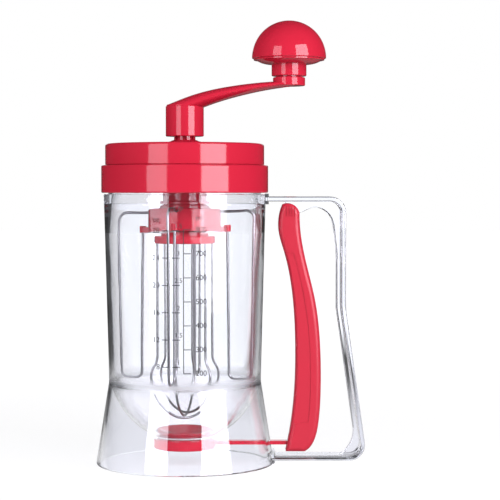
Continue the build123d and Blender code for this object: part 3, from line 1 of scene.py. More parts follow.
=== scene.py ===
# %% [markdown]
# # A batter dispenser, dressed
# The dispenser is a clear moulded jug with a red lid, a crank that turns a whisk, and a trigger that
# opens a gate under the bowl. The shapes come from the CAD model, which is loaded here as a fixed frame.
# What is left to do is what CAD can't say: how clear, how red and how shiny everything is, and what is
# printed on the wall.

import json
from math import cos, pi, radians, sin

import bmesh
import bpy
from mathutils import Matrix, Vector


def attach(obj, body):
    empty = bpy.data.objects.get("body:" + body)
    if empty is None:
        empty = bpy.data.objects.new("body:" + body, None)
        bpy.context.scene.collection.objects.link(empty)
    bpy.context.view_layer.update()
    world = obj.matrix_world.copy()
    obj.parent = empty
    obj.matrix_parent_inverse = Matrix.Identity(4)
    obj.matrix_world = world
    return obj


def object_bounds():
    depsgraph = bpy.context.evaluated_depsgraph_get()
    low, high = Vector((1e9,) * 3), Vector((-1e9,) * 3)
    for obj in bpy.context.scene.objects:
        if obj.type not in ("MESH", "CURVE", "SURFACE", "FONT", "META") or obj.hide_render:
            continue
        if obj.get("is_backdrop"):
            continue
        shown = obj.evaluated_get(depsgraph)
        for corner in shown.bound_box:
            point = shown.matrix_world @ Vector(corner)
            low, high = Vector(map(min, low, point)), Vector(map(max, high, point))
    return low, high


MM = 0.001

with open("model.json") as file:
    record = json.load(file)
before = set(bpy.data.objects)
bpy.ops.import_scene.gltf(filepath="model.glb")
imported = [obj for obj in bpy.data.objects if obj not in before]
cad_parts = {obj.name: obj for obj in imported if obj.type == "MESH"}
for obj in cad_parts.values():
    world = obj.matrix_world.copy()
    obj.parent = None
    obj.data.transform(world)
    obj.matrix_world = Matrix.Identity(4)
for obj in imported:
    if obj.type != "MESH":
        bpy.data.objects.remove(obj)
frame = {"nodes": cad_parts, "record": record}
cad_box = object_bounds()
nodes = frame["nodes"]
print("CAD box in mm:", [[round(x / MM, 1) for x in corner] for corner in cad_box])

# %% [markdown]
# ## Sums with shader sockets
# A finish is a small network of nodes. Nodes that are placed one by one are slow to read, so one class
# stands for a material's tree and one for the output of a node. An output takes part in sums as a number
# does, and each sum adds the Math node that it needs.


# %% A signal
class Signal:
    """Output of a shader node. Sums with it add Math nodes."""

    def __init__(self, finish, socket):
        self.finish = finish
        self.socket = socket

    def maths(self, operation, first, second):
        return self.finish.node("ShaderNodeMath", {"operation": operation}, {0: first, 1: second})

    def __add__(self, other):
        return self.maths("ADD", self, other)

    __radd__ = __add__

    def __sub__(self, other):
        return self.maths("SUBTRACT", self, other)

    def __rsub__(self, other):
        return self.maths("SUBTRACT", other, self)

    def __mul__(self, other):
        return self.maths("MULTIPLY", self, other)

    __rmul__ = __mul__

    def __pow__(self, exponent):
        return self.maths("POWER", self, exponent)


print("signals ready")

# %% A finish
# A Mix node has sockets for several kinds of data. These are the ones for colours.
FIRST_COLOUR = 6
SECOND_COLOUR = 7
MIXED_COLOUR = 2


class Finish:
    """Material with an empty tree, and one way to add any node to it."""

    def __init__(self, name):
        self.material = bpy.data.materials.new(name)
        self.material.use_nodes = True
        self.tree = self.material.node_tree
        self.tree.nodes.clear()

    def node(self, kind, settings=None, inputs=None, output=0):
        """Adds a node: its settings first, then the values or links of its sockets."""
        made = self.tree.nodes.new(kind)
        for key, value in (settings or {}).items():
            setattr(made, key, value)
        for key, value in (inputs or {}).items():
            if isinstance(value, Signal):
                self.tree.links.new(value.socket, made.inputs[key])
            else:
                made.inputs[key].default_value = value
        return Signal(self, made.outputs[output]) if made.outputs else None

    def mix(self, share, first, second):
        """Blend of two colours."""
        inputs = {"Factor": share, FIRST_COLOUR: first, SECOND_COLOUR: second}
        return self.node("ShaderNodeMix", {"data_type": "RGBA"}, inputs, MIXED_COLOUR)

    def mix_shaders(self, share, first, second):
        """Blend of two shaders."""
        return self.node("ShaderNodeMixShader", None, {0: share, 1: first, 2: second})

    def place(self):
        """Point on the surface, in the piece's own frame."""
        return self.node("ShaderNodeTexCoord", output="Object")

    def part(self, vector, axis):
        """One coordinate of a vector."""
        return self.node("ShaderNodeSeparateXYZ", None, {"Vector": vector}, axis)

    def length(self, vector):
        """Length of a vector."""
        return self.node("ShaderNodeVectorMath", {"operation": "LENGTH"}, {0: vector}, "Value")

    def noise(self, size, detail):
        """Cloudy pattern from 0 to 1 with features of about that size in metres."""
        scaled = self.node("ShaderNodeMapping", None, {"Vector": self.place(), "Scale": [1 / size] * 3})
        return self.node("ShaderNodeTexNoise", None, {"Vector": scaled, "Scale": 1.0, "Detail": detail})

    def bump(self, height, depth):
        """Normals of a surface whose height signal spans a depth in metres."""
        return self.node("ShaderNodeBump", None, {"Height": height, "Strength": 1.0, "Distance": depth})

    def ray(self, output):
        """Something about the ray that asks for a colour."""
        return self.node("ShaderNodeLightPath", output=output)

    def rise(self, value, low, high):
        """0 to 1 as a value goes from low to high."""
        return self.node("ShaderNodeMapRange", None, {"Value": value, "From Min": low, "From Max": high})

    def done(self, **shaders):
        """Ends the tree with its output."""
        inputs = {name.capitalize(): shader for name, shader in shaders.items()}
        self.node("ShaderNodeOutputMaterial", None, inputs)
        return self.material


def grey(level):
    """Colour without a hue."""
    return level, level, level, 1


WHITE = grey(1.0)
print("finishes ready")

# %% [markdown]
# ## Weld and neck of the jug
# The skirt is welded on in a ring that stays hazy, and a rough band at that height gives it. Under the
# lid the wall is so even that things behind it stay where they are. A shader that bends light would shift
# them, so this band is a pane instead: plain transparency with a gloss that grows as the wall turns away.
# Only the limbs of the neck, which are seen edge on, go on bending light.

# %% Weld and neck
WELD_HEIGHT = 52.5 * MM
WELD_REACH = 5.5 * MM
WELD_HAZE = 0.3
NECK_FROM = 163.6 * MM
NECK_TO = 169.7 * MM
NECK_EDGE = 0.2 * MM
NECK_MIDDLE = 48.5 * MM
NECK_BLEND = 0.3 * MM
LIMB_FROM = 0.62
LIMB_TO = 0.7
PANE_TINT = (0.99, 0.99, 1.0, 1)
PANE_ROUGHNESS = 0.03
PANE_SHINE = 0.05
PANE_POWER = 5
LEVEL_PART = (1.0, 1.0, 0.0)


def weld_haze(clear):
    """Roughness of the band where the skirt is welded on."""
    height = clear.part(clear.place(), "Z")
    above = clear.rise(height, WELD_HEIGHT + WELD_REACH, WELD_HEIGHT)
    below = clear.rise(height, WELD_HEIGHT - WELD_REACH, WELD_HEIGHT)
    return WELD_HAZE * above * below


def neck_pane(clear, tilt):
    """Even wall, which shows things where they are."""
    straight = clear.node("ShaderNodeBsdfTransparent", None, {"Color": PANE_TINT})
    gloss = clear.node("ShaderNodeBsdfGlossy", None, {"Color": WHITE, "Roughness": PANE_ROUGHNESS})
    return clear.mix_shaders(PANE_SHINE + (1 - PANE_SHINE) * tilt**PANE_POWER, straight, gloss)


def even_neck(clear, tilt, glassy):
    """The glassy wall, with a pane in its place under the lid. Limbs of the outer face stay glassy."""
    place = clear.place()
    height = clear.part(place, "Z")
    flat = clear.node("ShaderNodeVectorMath", {"operation": "MULTIPLY"}, {0: place, 1: LEVEL_PART})
    inner = clear.rise(clear.length(flat), NECK_MIDDLE + NECK_BLEND, NECK_MIDDLE - NECK_BLEND)
    faced = clear.rise(tilt, LIMB_TO, LIMB_FROM)
    above = clear.rise(height, NECK_FROM, NECK_FROM + NECK_EDGE)
    below = clear.rise(height, NECK_TO + NECK_EDGE, NECK_TO)
    even = above * below * (inner + (1 - inner) * faced)
    return clear.mix_shaders(even, glassy, neck_pane(clear, tilt))


print("even neck in mm:", round(NECK_FROM / MM, 1), "to", round(NECK_TO / MM, 1))

# %% [markdown]
# ## Clear plastic
# The jug and its handle are moulded in a clear, hard plastic. A transmission shader bends light as the
# real wall does. Moulded walls are never quite even, and a long, shallow ripple shows it in the
# reflections. The wall's colour is darkened as it turns away from view: this is painted edge shade,
# which draws dark edges on the wall.
# The handle has a finish of its own, because it has no weld and no neck.

# %% Clear plastic
CLEAR_IOR = 1.57
CLEAREST = (0.995, 0.995, 1.0, 1)
CLOUDIEST = (0.975, 0.977, 0.985, 1)
# Painted edge shade: grey that the wall's colour turns to as the wall turns away from view.
EDGE_SHADE = (0.45, 0.45, 0.48, 1)
EDGE_SHADE_POWER = 4
CLEAR_ROUGHNESS = 0.015
CLEAR_SPREAD = 0.02
RIPPLE = 30 * MM
RIPPLE_DEPTH = 0.4 * MM
HAZE = 6 * MM
SHADOW_TINT = (0.86, 0.86, 0.87, 1)
DEPTH_TINT = (0.74, 0.77, 0.86, 1)
DEPTH_DENSITY = 22.0


def clear_plastic(name, jug):
    """Clear moulding. The jug's has a weld and a neck."""
    clear = Finish(name)
    haze = clear.noise(HAZE, detail=3)
    ripple = clear.noise(RIPPLE, detail=1)
    tilt = clear.node("ShaderNodeLayerWeight", output="Facing")
    body = clear.mix(haze, CLEAREST, CLOUDIEST)
    roughness = CLEAR_ROUGHNESS + CLEAR_SPREAD * haze
    if jug:
        roughness = roughness + weld_haze(clear)
    wall = clear.node(
        "ShaderNodeBsdfPrincipled",
        None,
        {
            # painted edge shade: the colour darkens as the wall turns away from view
            "Base Color": clear.mix(tilt**EDGE_SHADE_POWER, body, EDGE_SHADE),
            "Roughness": roughness,
            "IOR": CLEAR_IOR,
            "Transmission Weight": 1.0,
            "Normal": clear.bump(ripple, RIPPLE_DEPTH),
        },
    )
    if jug:
        wall = even_neck(clear, tilt, wall)
    passing = clear.node("ShaderNodeBsdfTransparent", None, {"Color": SHADOW_TINT})
    depth = clear.node("ShaderNodeVolumeAbsorption", None, {"Color": DEPTH_TINT, "Density": DEPTH_DENSITY})
    return clear.done(surface=clear.mix_shaders(clear.ray("Is Shadow Ray"), wall, passing), volume=depth)


JUG = clear_plastic("clear_plastic", jug=True)
HANDLE = clear_plastic("clear_handle", jug=False)
print("made", JUG.name, HANDLE.name)

# %% [markdown]
# ## Red plastic
# Lid, crank, knob, hubs, valve and trigger are moulded in one red. A single colour would look like paint
# on a screen, so the red drifts a little, the gloss is uneven, and a very fine grain breaks up the
# reflections. The trigger has a satin surface, so it gets a rougher finish from the same function.

# %% Red plastic
RED_IOR = 1.46
RED_LIGHT = (0.468, 0.0135, 0.034, 1)
RED_DARK = (0.434, 0.0115, 0.029, 1)
RED_DRIFT = 25 * MM
RED_GRAIN = 0.7 * MM


def red_plastic(name, roughness, spread, depth):
    """Coloured moulding with a fine grain."""
    red = Finish(name)
    drift = red.noise(RED_DRIFT, detail=2)
    grain = red.noise(RED_GRAIN, detail=2)
    return red.done(
        surface=red.node(
            "ShaderNodeBsdfPrincipled",
            None,
            {
                "Base Color": red.mix(drift, RED_LIGHT, RED_DARK),
                "Roughness": roughness + spread * drift,
                "IOR": RED_IOR,
                "Normal": red.bump(grain, depth),
            },
        )
    )


RED = red_plastic("red_plastic", roughness=0.05, spread=0.06, depth=0.003 * MM)
GRIP = red_plastic("red_grip", roughness=0.28, spread=0.1, depth=0.01 * MM)
print("made", RED.name, GRIP.name)

# %% [markdown]
# ## Steel
# The loops are bright drawn wire, and the screws, pins and the spring are plainer steel. Drawing leaves
# fine streaks, so the gloss changes in small patches. A noise is enough for that, as the wires are too
# thin to show single streaks.

# %% Steel
WIRE_LIGHT = (0.4, 0.4, 0.42, 1)
WIRE_DARK = (0.33, 0.33, 0.35, 1)
FIXING_LIGHT = (0.6, 0.6, 0.61, 1)
FIXING_DARK = (0.45, 0.45, 0.46, 1)


def steel(name, light, dark, roughness, spread, patch):
    """Metal with a patchy gloss."""
    metal = Finish(name)
    patches = metal.noise(patch, detail=3)
    return metal.done(
        surface=metal.node(
            "ShaderNodeBsdfPrincipled",
            None,
            {
                "Base Color": metal.mix(patches, light, dark),
                "Metallic": 1.0,
                "Roughness": roughness + spread * patches,
            },
        )
    )


WIRE = steel("steel_wire", WIRE_LIGHT, WIRE_DARK, roughness=0.26, spread=0.06, patch=20 * MM)
FIXINGS = steel("steel_fixings", FIXING_LIGHT, FIXING_DARK, roughness=0.28, spread=0.2, patch=1.2 * MM)
print("made", WIRE.name, FIXINGS.name)

# %% [markdown]
# ## Silicone and nylon
# Seals are milky silicone, and the gears and washers inside the lid are white nylon. Both are matt and
# pale, and a fine noise in colour and height keeps them from looking flat. One function makes both.

# %% Silicone and nylon
SILICONE_LIGHT = (0.8, 0.8, 0.78, 1)
SILICONE_DARK = (0.72, 0.72, 0.7, 1)
NYLON_LIGHT = (0.88, 0.87, 0.83, 1)
NYLON_DARK = (0.8, 0.79, 0.74, 1)
MATT_SPREAD = 0.15


def matt(name, light, dark, roughness, cloud_size, depth):
    """Pale matt moulding with a fine grain."""
    soft = Finish(name)
    cloud = soft.noise(cloud_size, detail=3)
    return soft.done(
        surface=soft.node(
            "ShaderNodeBsdfPrincipled",
            None,
            {
                "Base Color": soft.mix(cloud, light, dark),
                "Roughness": roughness - MATT_SPREAD * cloud,
                "Normal": soft.bump(cloud, depth),
            },
        )
    )


SILICONE = matt("silicone", SILICONE_LIGHT, SILICONE_DARK, roughness=0.6, cloud_size=2 * MM, depth=0.02 * MM)
NYLON = matt("nylon", NYLON_LIGHT, NYLON_DARK, roughness=0.5, cloud_size=1.5 * MM, depth=0.01 * MM)
print("made", SILICONE.name, NYLON.name)

# %% [markdown]
# ## Dress the CAD pieces
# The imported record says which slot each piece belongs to, so one loop gives every piece its finish. A
# list of pieces would do as well, but it would miss a piece that is added later. Only the handle and the
# trigger have finishes of their own.

# %% Finishes on the CAD pieces
FINISHES = {
    "clear_plastic": JUG,
    "red_plastic": RED,
    "steel_wire": WIRE,
    "steel_fixings": FIXINGS,
    "silicone": SILICONE,
    "nylon": NYLON,
}
OWN_FINISHES = {"handle": HANDLE, "trigger": GRIP}
for part in frame["record"]["subparts"]:
    mesh = nodes[part["node"]].data
    mesh.materials.clear()
    mesh.materials.append(OWN_FINISHES.get(part["node"], FINISHES[part["material_slot"]]))

# %% [markdown]
# ## Printed scale
# Three scales are printed on the front wall: ounces, cups and millilitres. They could be a picture on the
# wall, but ink is a thin film with crisp edges, so each mark is a very thin body that is bent round the
# wall. The wall is a cone, and rays from the front find its radius at two heights.

# %% Wall of the jug
PROBE_HEIGHTS = (70 * MM, 140 * MM)
PROBE_STEP = 0.5 * MM
PROBE_COUNT = 40
PROBE_DISTANCE = 100 * MM


def probe(z):
    """Outer radius of the jug at a height. The mesh has facets, and rays side by side find its edges."""
    radii = []
    for side in range(-PROBE_COUNT, PROBE_COUNT + 1):
        start = Vector((side * PROBE_STEP, cad_box[0][1] - PROBE_DISTANCE, z))
        found, place, *_ = nodes["jug_body"].ray_cast(start, Vector((0, 1, 0)))
        radii.append(place.xy.length if found else 0)
    return max(radii)


wall_low, wall_high = (probe(z) for z in PROBE_HEIGHTS)
wall_slope = (wall_high - wall_low) / (PROBE_HEIGHTS[1] - PROBE_HEIGHTS[0])


def on_wall(across, z, lift):
    """Point on the front wall, by its way along the wall from the middle, its height and its lift off it."""
    radius = wall_low + wall_slope * (z - PROBE_HEIGHTS[0])
    turn = across / radius
    return (radius + lift) * sin(turn), -(radius + lift) * cos(turn), z


print("wall radius in mm:", round(wall_low / MM, 2), "to", round(wall_high / MM, 2))

# %% Ink
INK_BLACK = (0.02, 0.02, 0.022, 1)
INK_WORN = (0.06, 0.06, 0.063, 1)
INK_WEAR = 1.2 * MM
INK_ROUGHNESS = 0.6
INK_SPREAD = 0.2
INK_SHEEN = 0.2

ink = Finish("scale_ink")
wear = ink.noise(INK_WEAR, detail=3)
INK = ink.done(
    surface=ink.node(
        "ShaderNodeBsdfPrincipled",
        None,
        {
            "Base Color": ink.mix(wear, INK_BLACK, INK_WORN),
            "Roughness": INK_ROUGHNESS + INK_SPREAD * wear,
            "Specular IOR Level": INK_SHEEN,
        },
    )
)
print("made", INK.name)

# %% Lines and letters, flat at first
MARK = 0.5 * MM
LETTER = 4.6 * MM


def strip(made, low, high):
    """Adds a flat upright or level stroke to a mesh."""
    corners = (low, (high[0], low[1]), high, (low[0], high[1]))
    made.faces.new([made.verts.new((x, z, 0)) for x, z in corners])


def upright(made, across, low, high):
    """Adds the line that the marks of a scale stand on."""
    strip(made, (across - MARK / 2, low), (across + MARK / 2, high))


def tick(made, left, right, z):
    """Adds a level mark at a height."""
    strip(made, (left, z - MARK / 2), (right, z + MARK / 2))


def letters(made, text, across, z, size, align):
    """Adds a line of text to a mesh, centred on a height."""
    curve = bpy.data.curves.new("letters", "FONT")
    curve.body = text
    curve.size = size
    curve.align_x = align
    curve.align_y = "CENTER"
    holder = bpy.data.objects.new("letters", curve)
    bpy.context.collection.objects.link(holder)
    flat = bpy.data.meshes.new_from_object(holder.evaluated_get(bpy.context.evaluated_depsgraph_get()))
    flat.transform(Matrix.Translation((across, z, 0)))
    made.from_mesh(flat)
    bpy.data.objects.remove(holder)
    bpy.data.curves.remove(curve)
    bpy.data.meshes.remove(flat)


print("marks in mm:", round(MARK / MM, 2), "letters in mm:", round(LETTER / MM, 2))

# %% From flat marks to a film on the wall
BEND = 0.7 * MM
JOIN = 0.001 * MM
INK_FILM = 0.03 * MM
INK_GAP = 0.03 * MM


def bent_film(made):
    """Cuts flat marks into narrow strips, gives them their thickness and bends them round the wall."""
    left, right = (ends(vert.co.x for vert in made.verts) for ends in (min, max))
    for cut in range(1, int((right - left) / BEND)):
        whole = made.verts[:] + made.edges[:] + made.faces[:]
        bmesh.ops.bisect_plane(made, geom=whole, plane_co=(left + cut * BEND, 0, 0), plane_no=(1, 0, 0))
    bmesh.ops.remove_doubles(made, verts=made.verts, dist=JOIN)
    film = bmesh.ops.extrude_face_region(made, geom=made.faces[:])
    top = {item for item in film["geom"] if isinstance(item, bmesh.types.BMVert)}
    for vert in made.verts:
        lift = INK_GAP + INK_FILM if vert in top else INK_GAP
        vert.co = on_wall(vert.co.x, vert.co.y, lift)
    bmesh.ops.recalc_face_normals(made, faces=made.faces)


def printed(name, made):
    """Puts flat marks on the jug as one piece of ink."""
    bent_film(made)
    mesh = bpy.data.meshes.new(name)
    made.to_mesh(mesh)
    made.free()
    mesh.materials.append(INK)
    piece = bpy.data.objects.new(name, mesh)
    bpy.context.collection.objects.link(piece)
    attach(piece, "jug")
    print("printed", name, len(mesh.polygons), "faces")


# %% Millilitre scale
ML_FIRST = 200
ML_STEP = 100
ML_COUNT = 7
ML_LOW = 61.4 * MM
ML_RISE = 14.5 * MM
ML_LINE = 1.0 * MM
ML_TICK = 4.4 * MM
ML_TEXT = 8.3 * MM
ML_UNIT = 1.5 * LETTER

marks = bmesh.new()
ml_top = ML_LOW + (ML_COUNT - 1) * ML_RISE
upright(marks, ML_LINE, ML_LOW, ml_top)
for step in range(ML_COUNT):
    z = ML_LOW + step * ML_RISE
    tick(marks, ML_LINE, ML_LINE + ML_TICK, z)
    letters(marks, str(ML_FIRST + step * ML_STEP), ML_TEXT, z, LETTER, "LEFT")
letters(marks, "ml", ML_TEXT, ml_top + ML_UNIT, LETTER, "LEFT")
printed("scale_millilitres", marks)

# %% Ounce and cup scales
OZ_FIRST = 8
OZ_STEP = 4
OZ_COUNT = 6
OZ_LOW = 65.3 * MM
OZ_RISE = 16.5 * MM
OZ_LINE = -8.4 * MM
OZ_TICK = 3.8 * MM
OZ_TEXT = -13.6 * MM
OZ_UNIT = 1.45 * LETTER
CUP_FIRST = 1
CUP_STEP = 0.5
CUP_LINE = -5.9 * MM
CUP_TICK = 4.7 * MM
CUP_TEXT = -2.0 * MM
CUP_LETTER = 0.85 * LETTER
CUP_RAISE = 0.6 * LETTER
CUP_UNIT = 2.7 * LETTER

marks = bmesh.new()
cups = bmesh.new()
oz_top = OZ_LOW + (OZ_COUNT - 1) * OZ_RISE
upright(marks, OZ_LINE, OZ_LOW, oz_top)
for step in range(OZ_COUNT):
    z = OZ_LOW + step * OZ_RISE
    tick(marks, OZ_LINE - OZ_TICK, OZ_LINE, z)
    letters(marks, str(OZ_FIRST + step * OZ_STEP), OZ_TEXT, z, LETTER, "RIGHT")
    tick(cups, CUP_LINE, CUP_LINE + CUP_TICK, z)
    letters(cups, f"{CUP_FIRST + step * CUP_STEP:g}", CUP_TEXT, z + CUP_RAISE, CUP_LETTER, "CENTER")
letters(marks, "oz", OZ_TEXT, oz_top + OZ_UNIT, LETTER, "RIGHT")
letters(cups, "CUP", CUP_LINE + CUP_TICK / 2, oz_top + CUP_UNIT, LETTER, "CENTER")
printed("scale_ounces", marks)
printed("scale_cups", cups)

# %% [markdown]
# ## Backdrop behind clear plastic
# Clear plastic draws its own edges: they bend rays towards the sides of the room, and where the room is
# dark, the edge looks dark. In a studio, grey screens stand beside a white backdrop for this. Real
# screens would also darken everything else, so here they are only found by rays that have gone through
# clear plastic. The floor and the surroundings share these views. A ray through a single bar, such as the
# handle, crosses two faces, and one through the jug four or more. The bar finds darker screens: its lines
# are fine and dark, where the edges of the jug are soft and grey.

# %% Screens beside the backdrop
BACKLIGHT = (1.18, 1.2, 1.26, 1)
SCREEN_EDGE = 0.05
BAR_FACES = 2
JUG_FACES = 4
BENT_LEFT = -0.17
BENT_RIGHT = 0.15
BAR_SCREEN = grey(0.05)
JUG_LEFT_SCREEN = (1.05, 1.05, 1.09, 1)
JUG_RIGHT_SCREEN = (0.3, 0.3, 0.31, 1)
MIRRORED_LEFT = -0.05
MIRRORED_RIGHT = 0.1
MIRRORED_LEFT_SCREEN = (0.08, 0.08, 0.085, 1)
MIRRORED_RIGHT_SCREEN = (0.6, 0.6, 0.61, 1)
MIRRORED_BAR = (0.35, 0.35, 0.36, 1)
BACK_FROM = 0.0
BACK_TO = 0.4


def between(finish, sideways, left_end, right_end, left, middle, right):
    """Backdrop as a ray finds it: a middle, and a screen from each end outwards."""
    inner = finish.mix(finish.rise(sideways, right_end, right_end + SCREEN_EDGE), middle, right)
    return finish.mix(finish.rise(sideways, left_end, left_end - SCREEN_EDGE), inner, left)


def crossings(finish, few, many):
    """0 to 1 as the faces of clear plastic that a ray has crossed go from few to many."""
    return finish.rise(finish.ray("Transmission Depth") + finish.ray("Transparent Depth"), few, many)


def bent_view(finish, sideways):
    """Backdrop behind clear plastic."""
    walls = crossings(finish, BAR_FACES, JUG_FACES)
    left = finish.mix(walls, BAR_SCREEN, JUG_LEFT_SCREEN)
    right = finish.mix(walls, BAR_SCREEN, JUG_RIGHT_SCREEN)
    return between(finish, sideways, BENT_LEFT, BENT_RIGHT, left, BACKLIGHT, right)


def mirrored_view(finish, sideways):
    """Backdrop in a reflection inside clear plastic."""
    middle = finish.mix(crossings(finish, BAR_FACES, JUG_FACES), MIRRORED_BAR, BACKLIGHT)
    screens = MIRRORED_LEFT_SCREEN, middle, MIRRORED_RIGHT_SCREEN
    return between(finish, sideways, MIRRORED_LEFT, MIRRORED_RIGHT, *screens)


def mirrored_inside(finish, backward):
    """1 for a reflection inside clear plastic that goes on to the back."""
    return finish.rise(backward, BACK_FROM, BACK_TO) * finish.ray("Transmission Depth")


print("screens from", BENT_LEFT, "and", BENT_RIGHT, "outwards")

# %% [markdown]
# ## Floor
# The dispenser stands on a plain pale sweep. Far away the sweep glows a little, as one that is lit on its
# own, so that floor and background meet without a line. A bigger lamp could do that too, but it would
# wash out the red. For the same reason the glow is weaker in reflections and in the light that it throws
# up.

# %% Finish of the floor
NEAR = 0.1
FAR = 0.9
SCREENS_FROM = 0.2
SCREENS_TO = 0.5
GLOW_NEAR = grey(0.86)
GLOW_FAR = WHITE
FEW_FACES = 4
MANY_FACES = 8
BENEATH_FEW = (0.76, 0.77, 0.83, 1)
BENEATH_MANY = (1.35, 1.34, 1.43, 1)
GLOSS_NEAR = grey(0.4)
GLOSS_FAR = grey(0.08)
INSIDE_NEAR = grey(0.12)
INSIDE_FAR = grey(0.3)
THROWN_NEAR = grey(0.5)
THROWN_FAR = grey(0.3)
PAPER = (0.17, 0.17, 0.172, 1)
PAPER_NEAR = grey(0.2)
PAPER_FAR = grey(0.02)
PAPER_GRAIN = 2 * MM
PAPER_SHADE = 0.05
PAPER_ROUGHNESS = 0.6


def floor_in_gloss(pale, far):
    """Floor as a glossy surface mirrors it, or clear plastic from inside."""
    once = pale.mix(far, GLOSS_NEAR, GLOSS_FAR)
    again = pale.mix(pale.ray("Glossy Depth") - 1, once, GLOSS_NEAR)
    return pale.mix(pale.ray("Transmission Depth"), again, pale.mix(far, INSIDE_NEAR, INSIDE_FAR))


def floor_glow(pale, spot, far):
    """Glow of the floor, by the way that a ray has come to it."""
    along = pale.node("ShaderNodeVectorMath", {"operation": "NORMALIZE"}, {0: spot})
    sideways = pale.part(along, "X")
    distant = pale.rise(pale.length(spot), SCREENS_FROM, SCREENS_TO)
    shown = pale.mix(far, GLOW_NEAR, GLOW_FAR)
    beneath = pale.mix(crossings(pale, FEW_FACES, MANY_FACES), BENEATH_FEW, BENEATH_MANY)
    bent = pale.mix(distant, beneath, bent_view(pale, sideways))
    behind = pale.mix(distant, shown, mirrored_view(pale, sideways))
    mirrored = pale.mix(mirrored_inside(pale, pale.part(along, "Y")), floor_in_gloss(pale, far), behind)
    through = pale.mix(pale.ray("Glossy Depth"), bent, mirrored)
    thrown = pale.mix(far, THROWN_NEAR, THROWN_FAR)
    found = pale.mix(pale.ray("Diffuse Depth"), through, thrown)
    return pale.mix(pale.ray("Is Camera Ray"), found, shown)


def pale_floor():
    """Matt paper that glows."""
    pale = Finish("pale_floor")
    spot = pale.place()
    far = pale.rise(pale.length(spot), NEAR, FAR)
    paper = pale.mix(pale.ray("Is Camera Ray"), pale.mix(far, PAPER_NEAR, PAPER_FAR), PAPER)
    grain = pale.noise(PAPER_GRAIN, detail=3)
    return pale.done(
        surface=pale.node(
            "ShaderNodeBsdfPrincipled",
            None,
            {
                "Base Color": pale.mix(PAPER_SHADE * grain, paper, grey(0)),
                "Roughness": PAPER_ROUGHNESS,
                "Specular IOR Level": 0.0,
                "Emission Color": floor_glow(pale, spot, far),
                "Emission Strength": 1.0,
            },
        )
    )


FLOOR = pale_floor()
print("made", FLOOR.name)

# %% Floor
FLOOR_REACH = 6.0
FLOOR_SQUARES = 8
FLOOR_GAP = 0.2 * MM

sheet = bmesh.new()
bmesh.ops.create_grid(sheet, x_segments=FLOOR_SQUARES, y_segments=FLOOR_SQUARES, size=FLOOR_REACH)
floor_mesh = bpy.data.meshes.new("floor")
sheet.to_mesh(floor_mesh)
sheet.free()
floor_mesh.materials.append(FLOOR)
floor = bpy.data.objects.new("floor", floor_mesh)
floor.location.z = cad_box[0][2] - FLOOR_GAP
bpy.context.collection.objects.link(floor)
floor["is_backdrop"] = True
print("floor", 2 * FLOOR_REACH, "m wide")

# %% [markdown]
# ## Soft boxes
# Two tall soft boxes stand in front, left and right: they make the upright bands on the lid. The right
# one is brighter. Both are weaker at the foot, where a box of one brightness would wash out the valve and
# the skirt, so each foot is a lamp of its own.

# %% Soft boxes
BOX_TINT = (0.95, 0.94, 1.03)
BOX_DISTANCE = 0.9
FOOT_TOP = 0.11
LEFT_BOX = {"azimuth": -35.5, "width": 0.45}
RIGHT_BOX = {"azimuth": 43, "width": 0.62}


def soft_box(name, azimuth, width, low, high, radiance):
    """Upright rectangle of light that faces the jug's axis, at degrees from the front to the right."""
    lamp = bpy.data.lights.new(name, "AREA")
    lamp.shape = "RECTANGLE"
    lamp.size = width
    lamp.size_y = high - low
    lamp.color = BOX_TINT
    lamp.energy = radiance * pi * width * (high - low)
    holder = bpy.data.objects.new(name, lamp)
    turn = radians(azimuth)
    holder.location = (BOX_DISTANCE * sin(turn), -BOX_DISTANCE * cos(turn), (low + high) / 2)
    holder.rotation_euler = (pi / 2, 0, turn)
    bpy.context.collection.objects.link(holder)
    print(name, round(lamp.energy, 2), "W")


soft_box("soft_box_left", **LEFT_BOX, low=FOOT_TOP, high=0.82, radiance=4.6)
soft_box("soft_box_left_foot", **LEFT_BOX, low=0.0, high=FOOT_TOP, radiance=0.7)
soft_box("soft_box_right", **RIGHT_BOX, low=FOOT_TOP, high=0.86, radiance=8.7)
soft_box("soft_box_right_foot", **RIGHT_BOX, low=0.0, high=FOOT_TOP, radiance=3.4)

# %% [markdown]
# ## Surroundings
# The surroundings are white where the camera looks at them. Through clear plastic they are the backdrop
# with its screens. Glossy faces mirror a dim room, so that the red stays deep, and only a level face that
# is skimmed from above mirrors the backdrop. Matt faces get a soft fill from the left and from behind,
# and little from above. A picture of a room would give all this at once, but here each part can be set on
# its own.


# %% Tree of the surroundings
class Surroundings(Finish):
    """The world's tree, which takes the same nodes as a material's."""

    def __init__(self, name):
        world = bpy.data.worlds.new(name)
        world.use_nodes = True
        bpy.context.scene.world = world
        self.tree = world.node_tree
        self.tree.nodes.clear()

    def done(self, colour):
        """Ends the tree with its output."""
        room = self.node("ShaderNodeBackground", None, {"Color": colour, "Strength": 1.0})
        self.node("ShaderNodeOutputWorld", None, {"Surface": room})


studio = Surroundings("studio")
toward = studio.node("ShaderNodeTexCoord", output="Generated")
rightward = studio.part(toward, "X")
backward = studio.part(toward, "Y")
upward = studio.part(toward, "Z")
print("surroundings begun")

# %% What glossy and clear faces find
ROOM_FRONT = (0.13, 0.13, 0.135, 1)
ROOM_BACK = (0.04, 0.04, 0.042, 1)
ROOM_FROM = -0.2
ROOM_TO = 0.3
SKIM_BACK_FROM = 0.94
SKIM_BACK_TO = 0.97
SKIM_UP_FROM = 0.09
SKIM_UP_TO = 0.12

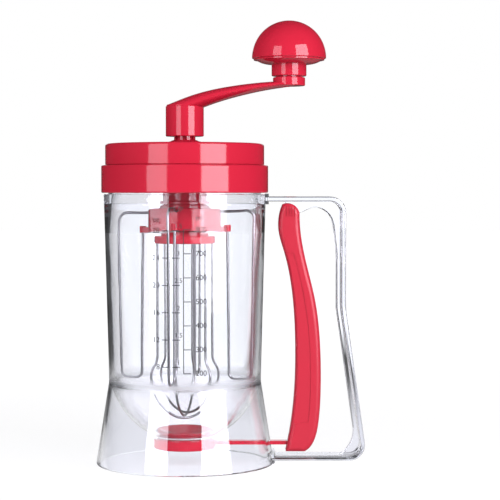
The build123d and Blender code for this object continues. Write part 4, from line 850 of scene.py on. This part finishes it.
dim = studio.mix(studio.rise(backward, ROOM_FROM, ROOM_TO), ROOM_FRONT, ROOM_BACK)
level_back = studio.rise(backward, SKIM_BACK_FROM, SKIM_BACK_TO)
skimmed = level_back * studio.rise(upward, SKIM_UP_FROM, SKIM_UP_TO)
outside = studio.mix(skimmed, dim, BACKLIGHT)
mirrored = studio.mix(mirrored_inside(studio, backward), outside, mirrored_view(studio, rightward))
found = studio.mix(studio.ray("Glossy Depth"), bent_view(studio, rightward), mirrored)
shown = studio.mix(studio.ray("Is Camera Ray"), found, WHITE)
print("room mirrored at", ROOM_FRONT[0], "in front and", ROOM_BACK[0], "behind")

# %% Fill for matt faces
FILL_RIGHT = (0.6, 0.6, 0.62, 1)
FILL_LEFT = (2.1, 2.1, 2.18, 1)
FILL_RIGHT_AT = 0.5
FILL_LEFT_AT = -0.7
FILL_BACK = (2.4, 2.4, 2.45, 1)
FILL_BACK_FROM = 0.3
FILL_BACK_TO = 0.9
FILL_ABOVE = grey(0.03)
FILL_ABOVE_FROM = 0.0
FILL_ABOVE_TO = 0.7

sides = studio.mix(studio.rise(rightward, FILL_RIGHT_AT, FILL_LEFT_AT), FILL_RIGHT, FILL_LEFT)
around = studio.mix(studio.rise(backward, FILL_BACK_FROM, FILL_BACK_TO), sides, FILL_BACK)
fill = studio.mix(studio.rise(upward, FILL_ABOVE_FROM, FILL_ABOVE_TO), around, FILL_ABOVE)
studio.done(studio.mix(studio.ray("Is Diffuse Ray"), shown, fill))
bpy.context.scene.view_settings.view_transform = "Standard"
print("surroundings ready")

# %% [markdown]
# ## Camera
# The photograph was taken from about a metre in front, level with the rim of the jug and tilted a little
# down, with a long lens. A nearer camera with a shorter lens would fit the same frame, but it would bend
# the level edges of the lid into deeper curves.

# %% Camera
CAMERA_AT = (0.041, -1.06, 0.172)
CAMERA_DROP = 2.03
LENS = 121.2
SENSOR = 36.0

lens = bpy.data.cameras.new("camera")
lens.lens = LENS
lens.sensor_width = SENSOR
camera = bpy.data.objects.new("camera", lens)
camera.location = CAMERA_AT
camera.rotation_euler = (radians(90 - CAMERA_DROP), 0, 0)
bpy.context.collection.objects.link(camera)
bpy.context.scene.camera = camera
print("camera at", CAMERA_AT)

# %% [markdown]
# ## Sizes
# The size of the dressed model is kept beside that of the CAD model, and both are printed.

# %% Sizes
sizes = {"cad": cad_box, "visual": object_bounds()}
sizes = {name: [[float(x) for x in corner] for corner in box] for name, box in sizes.items()}
print(sizes)
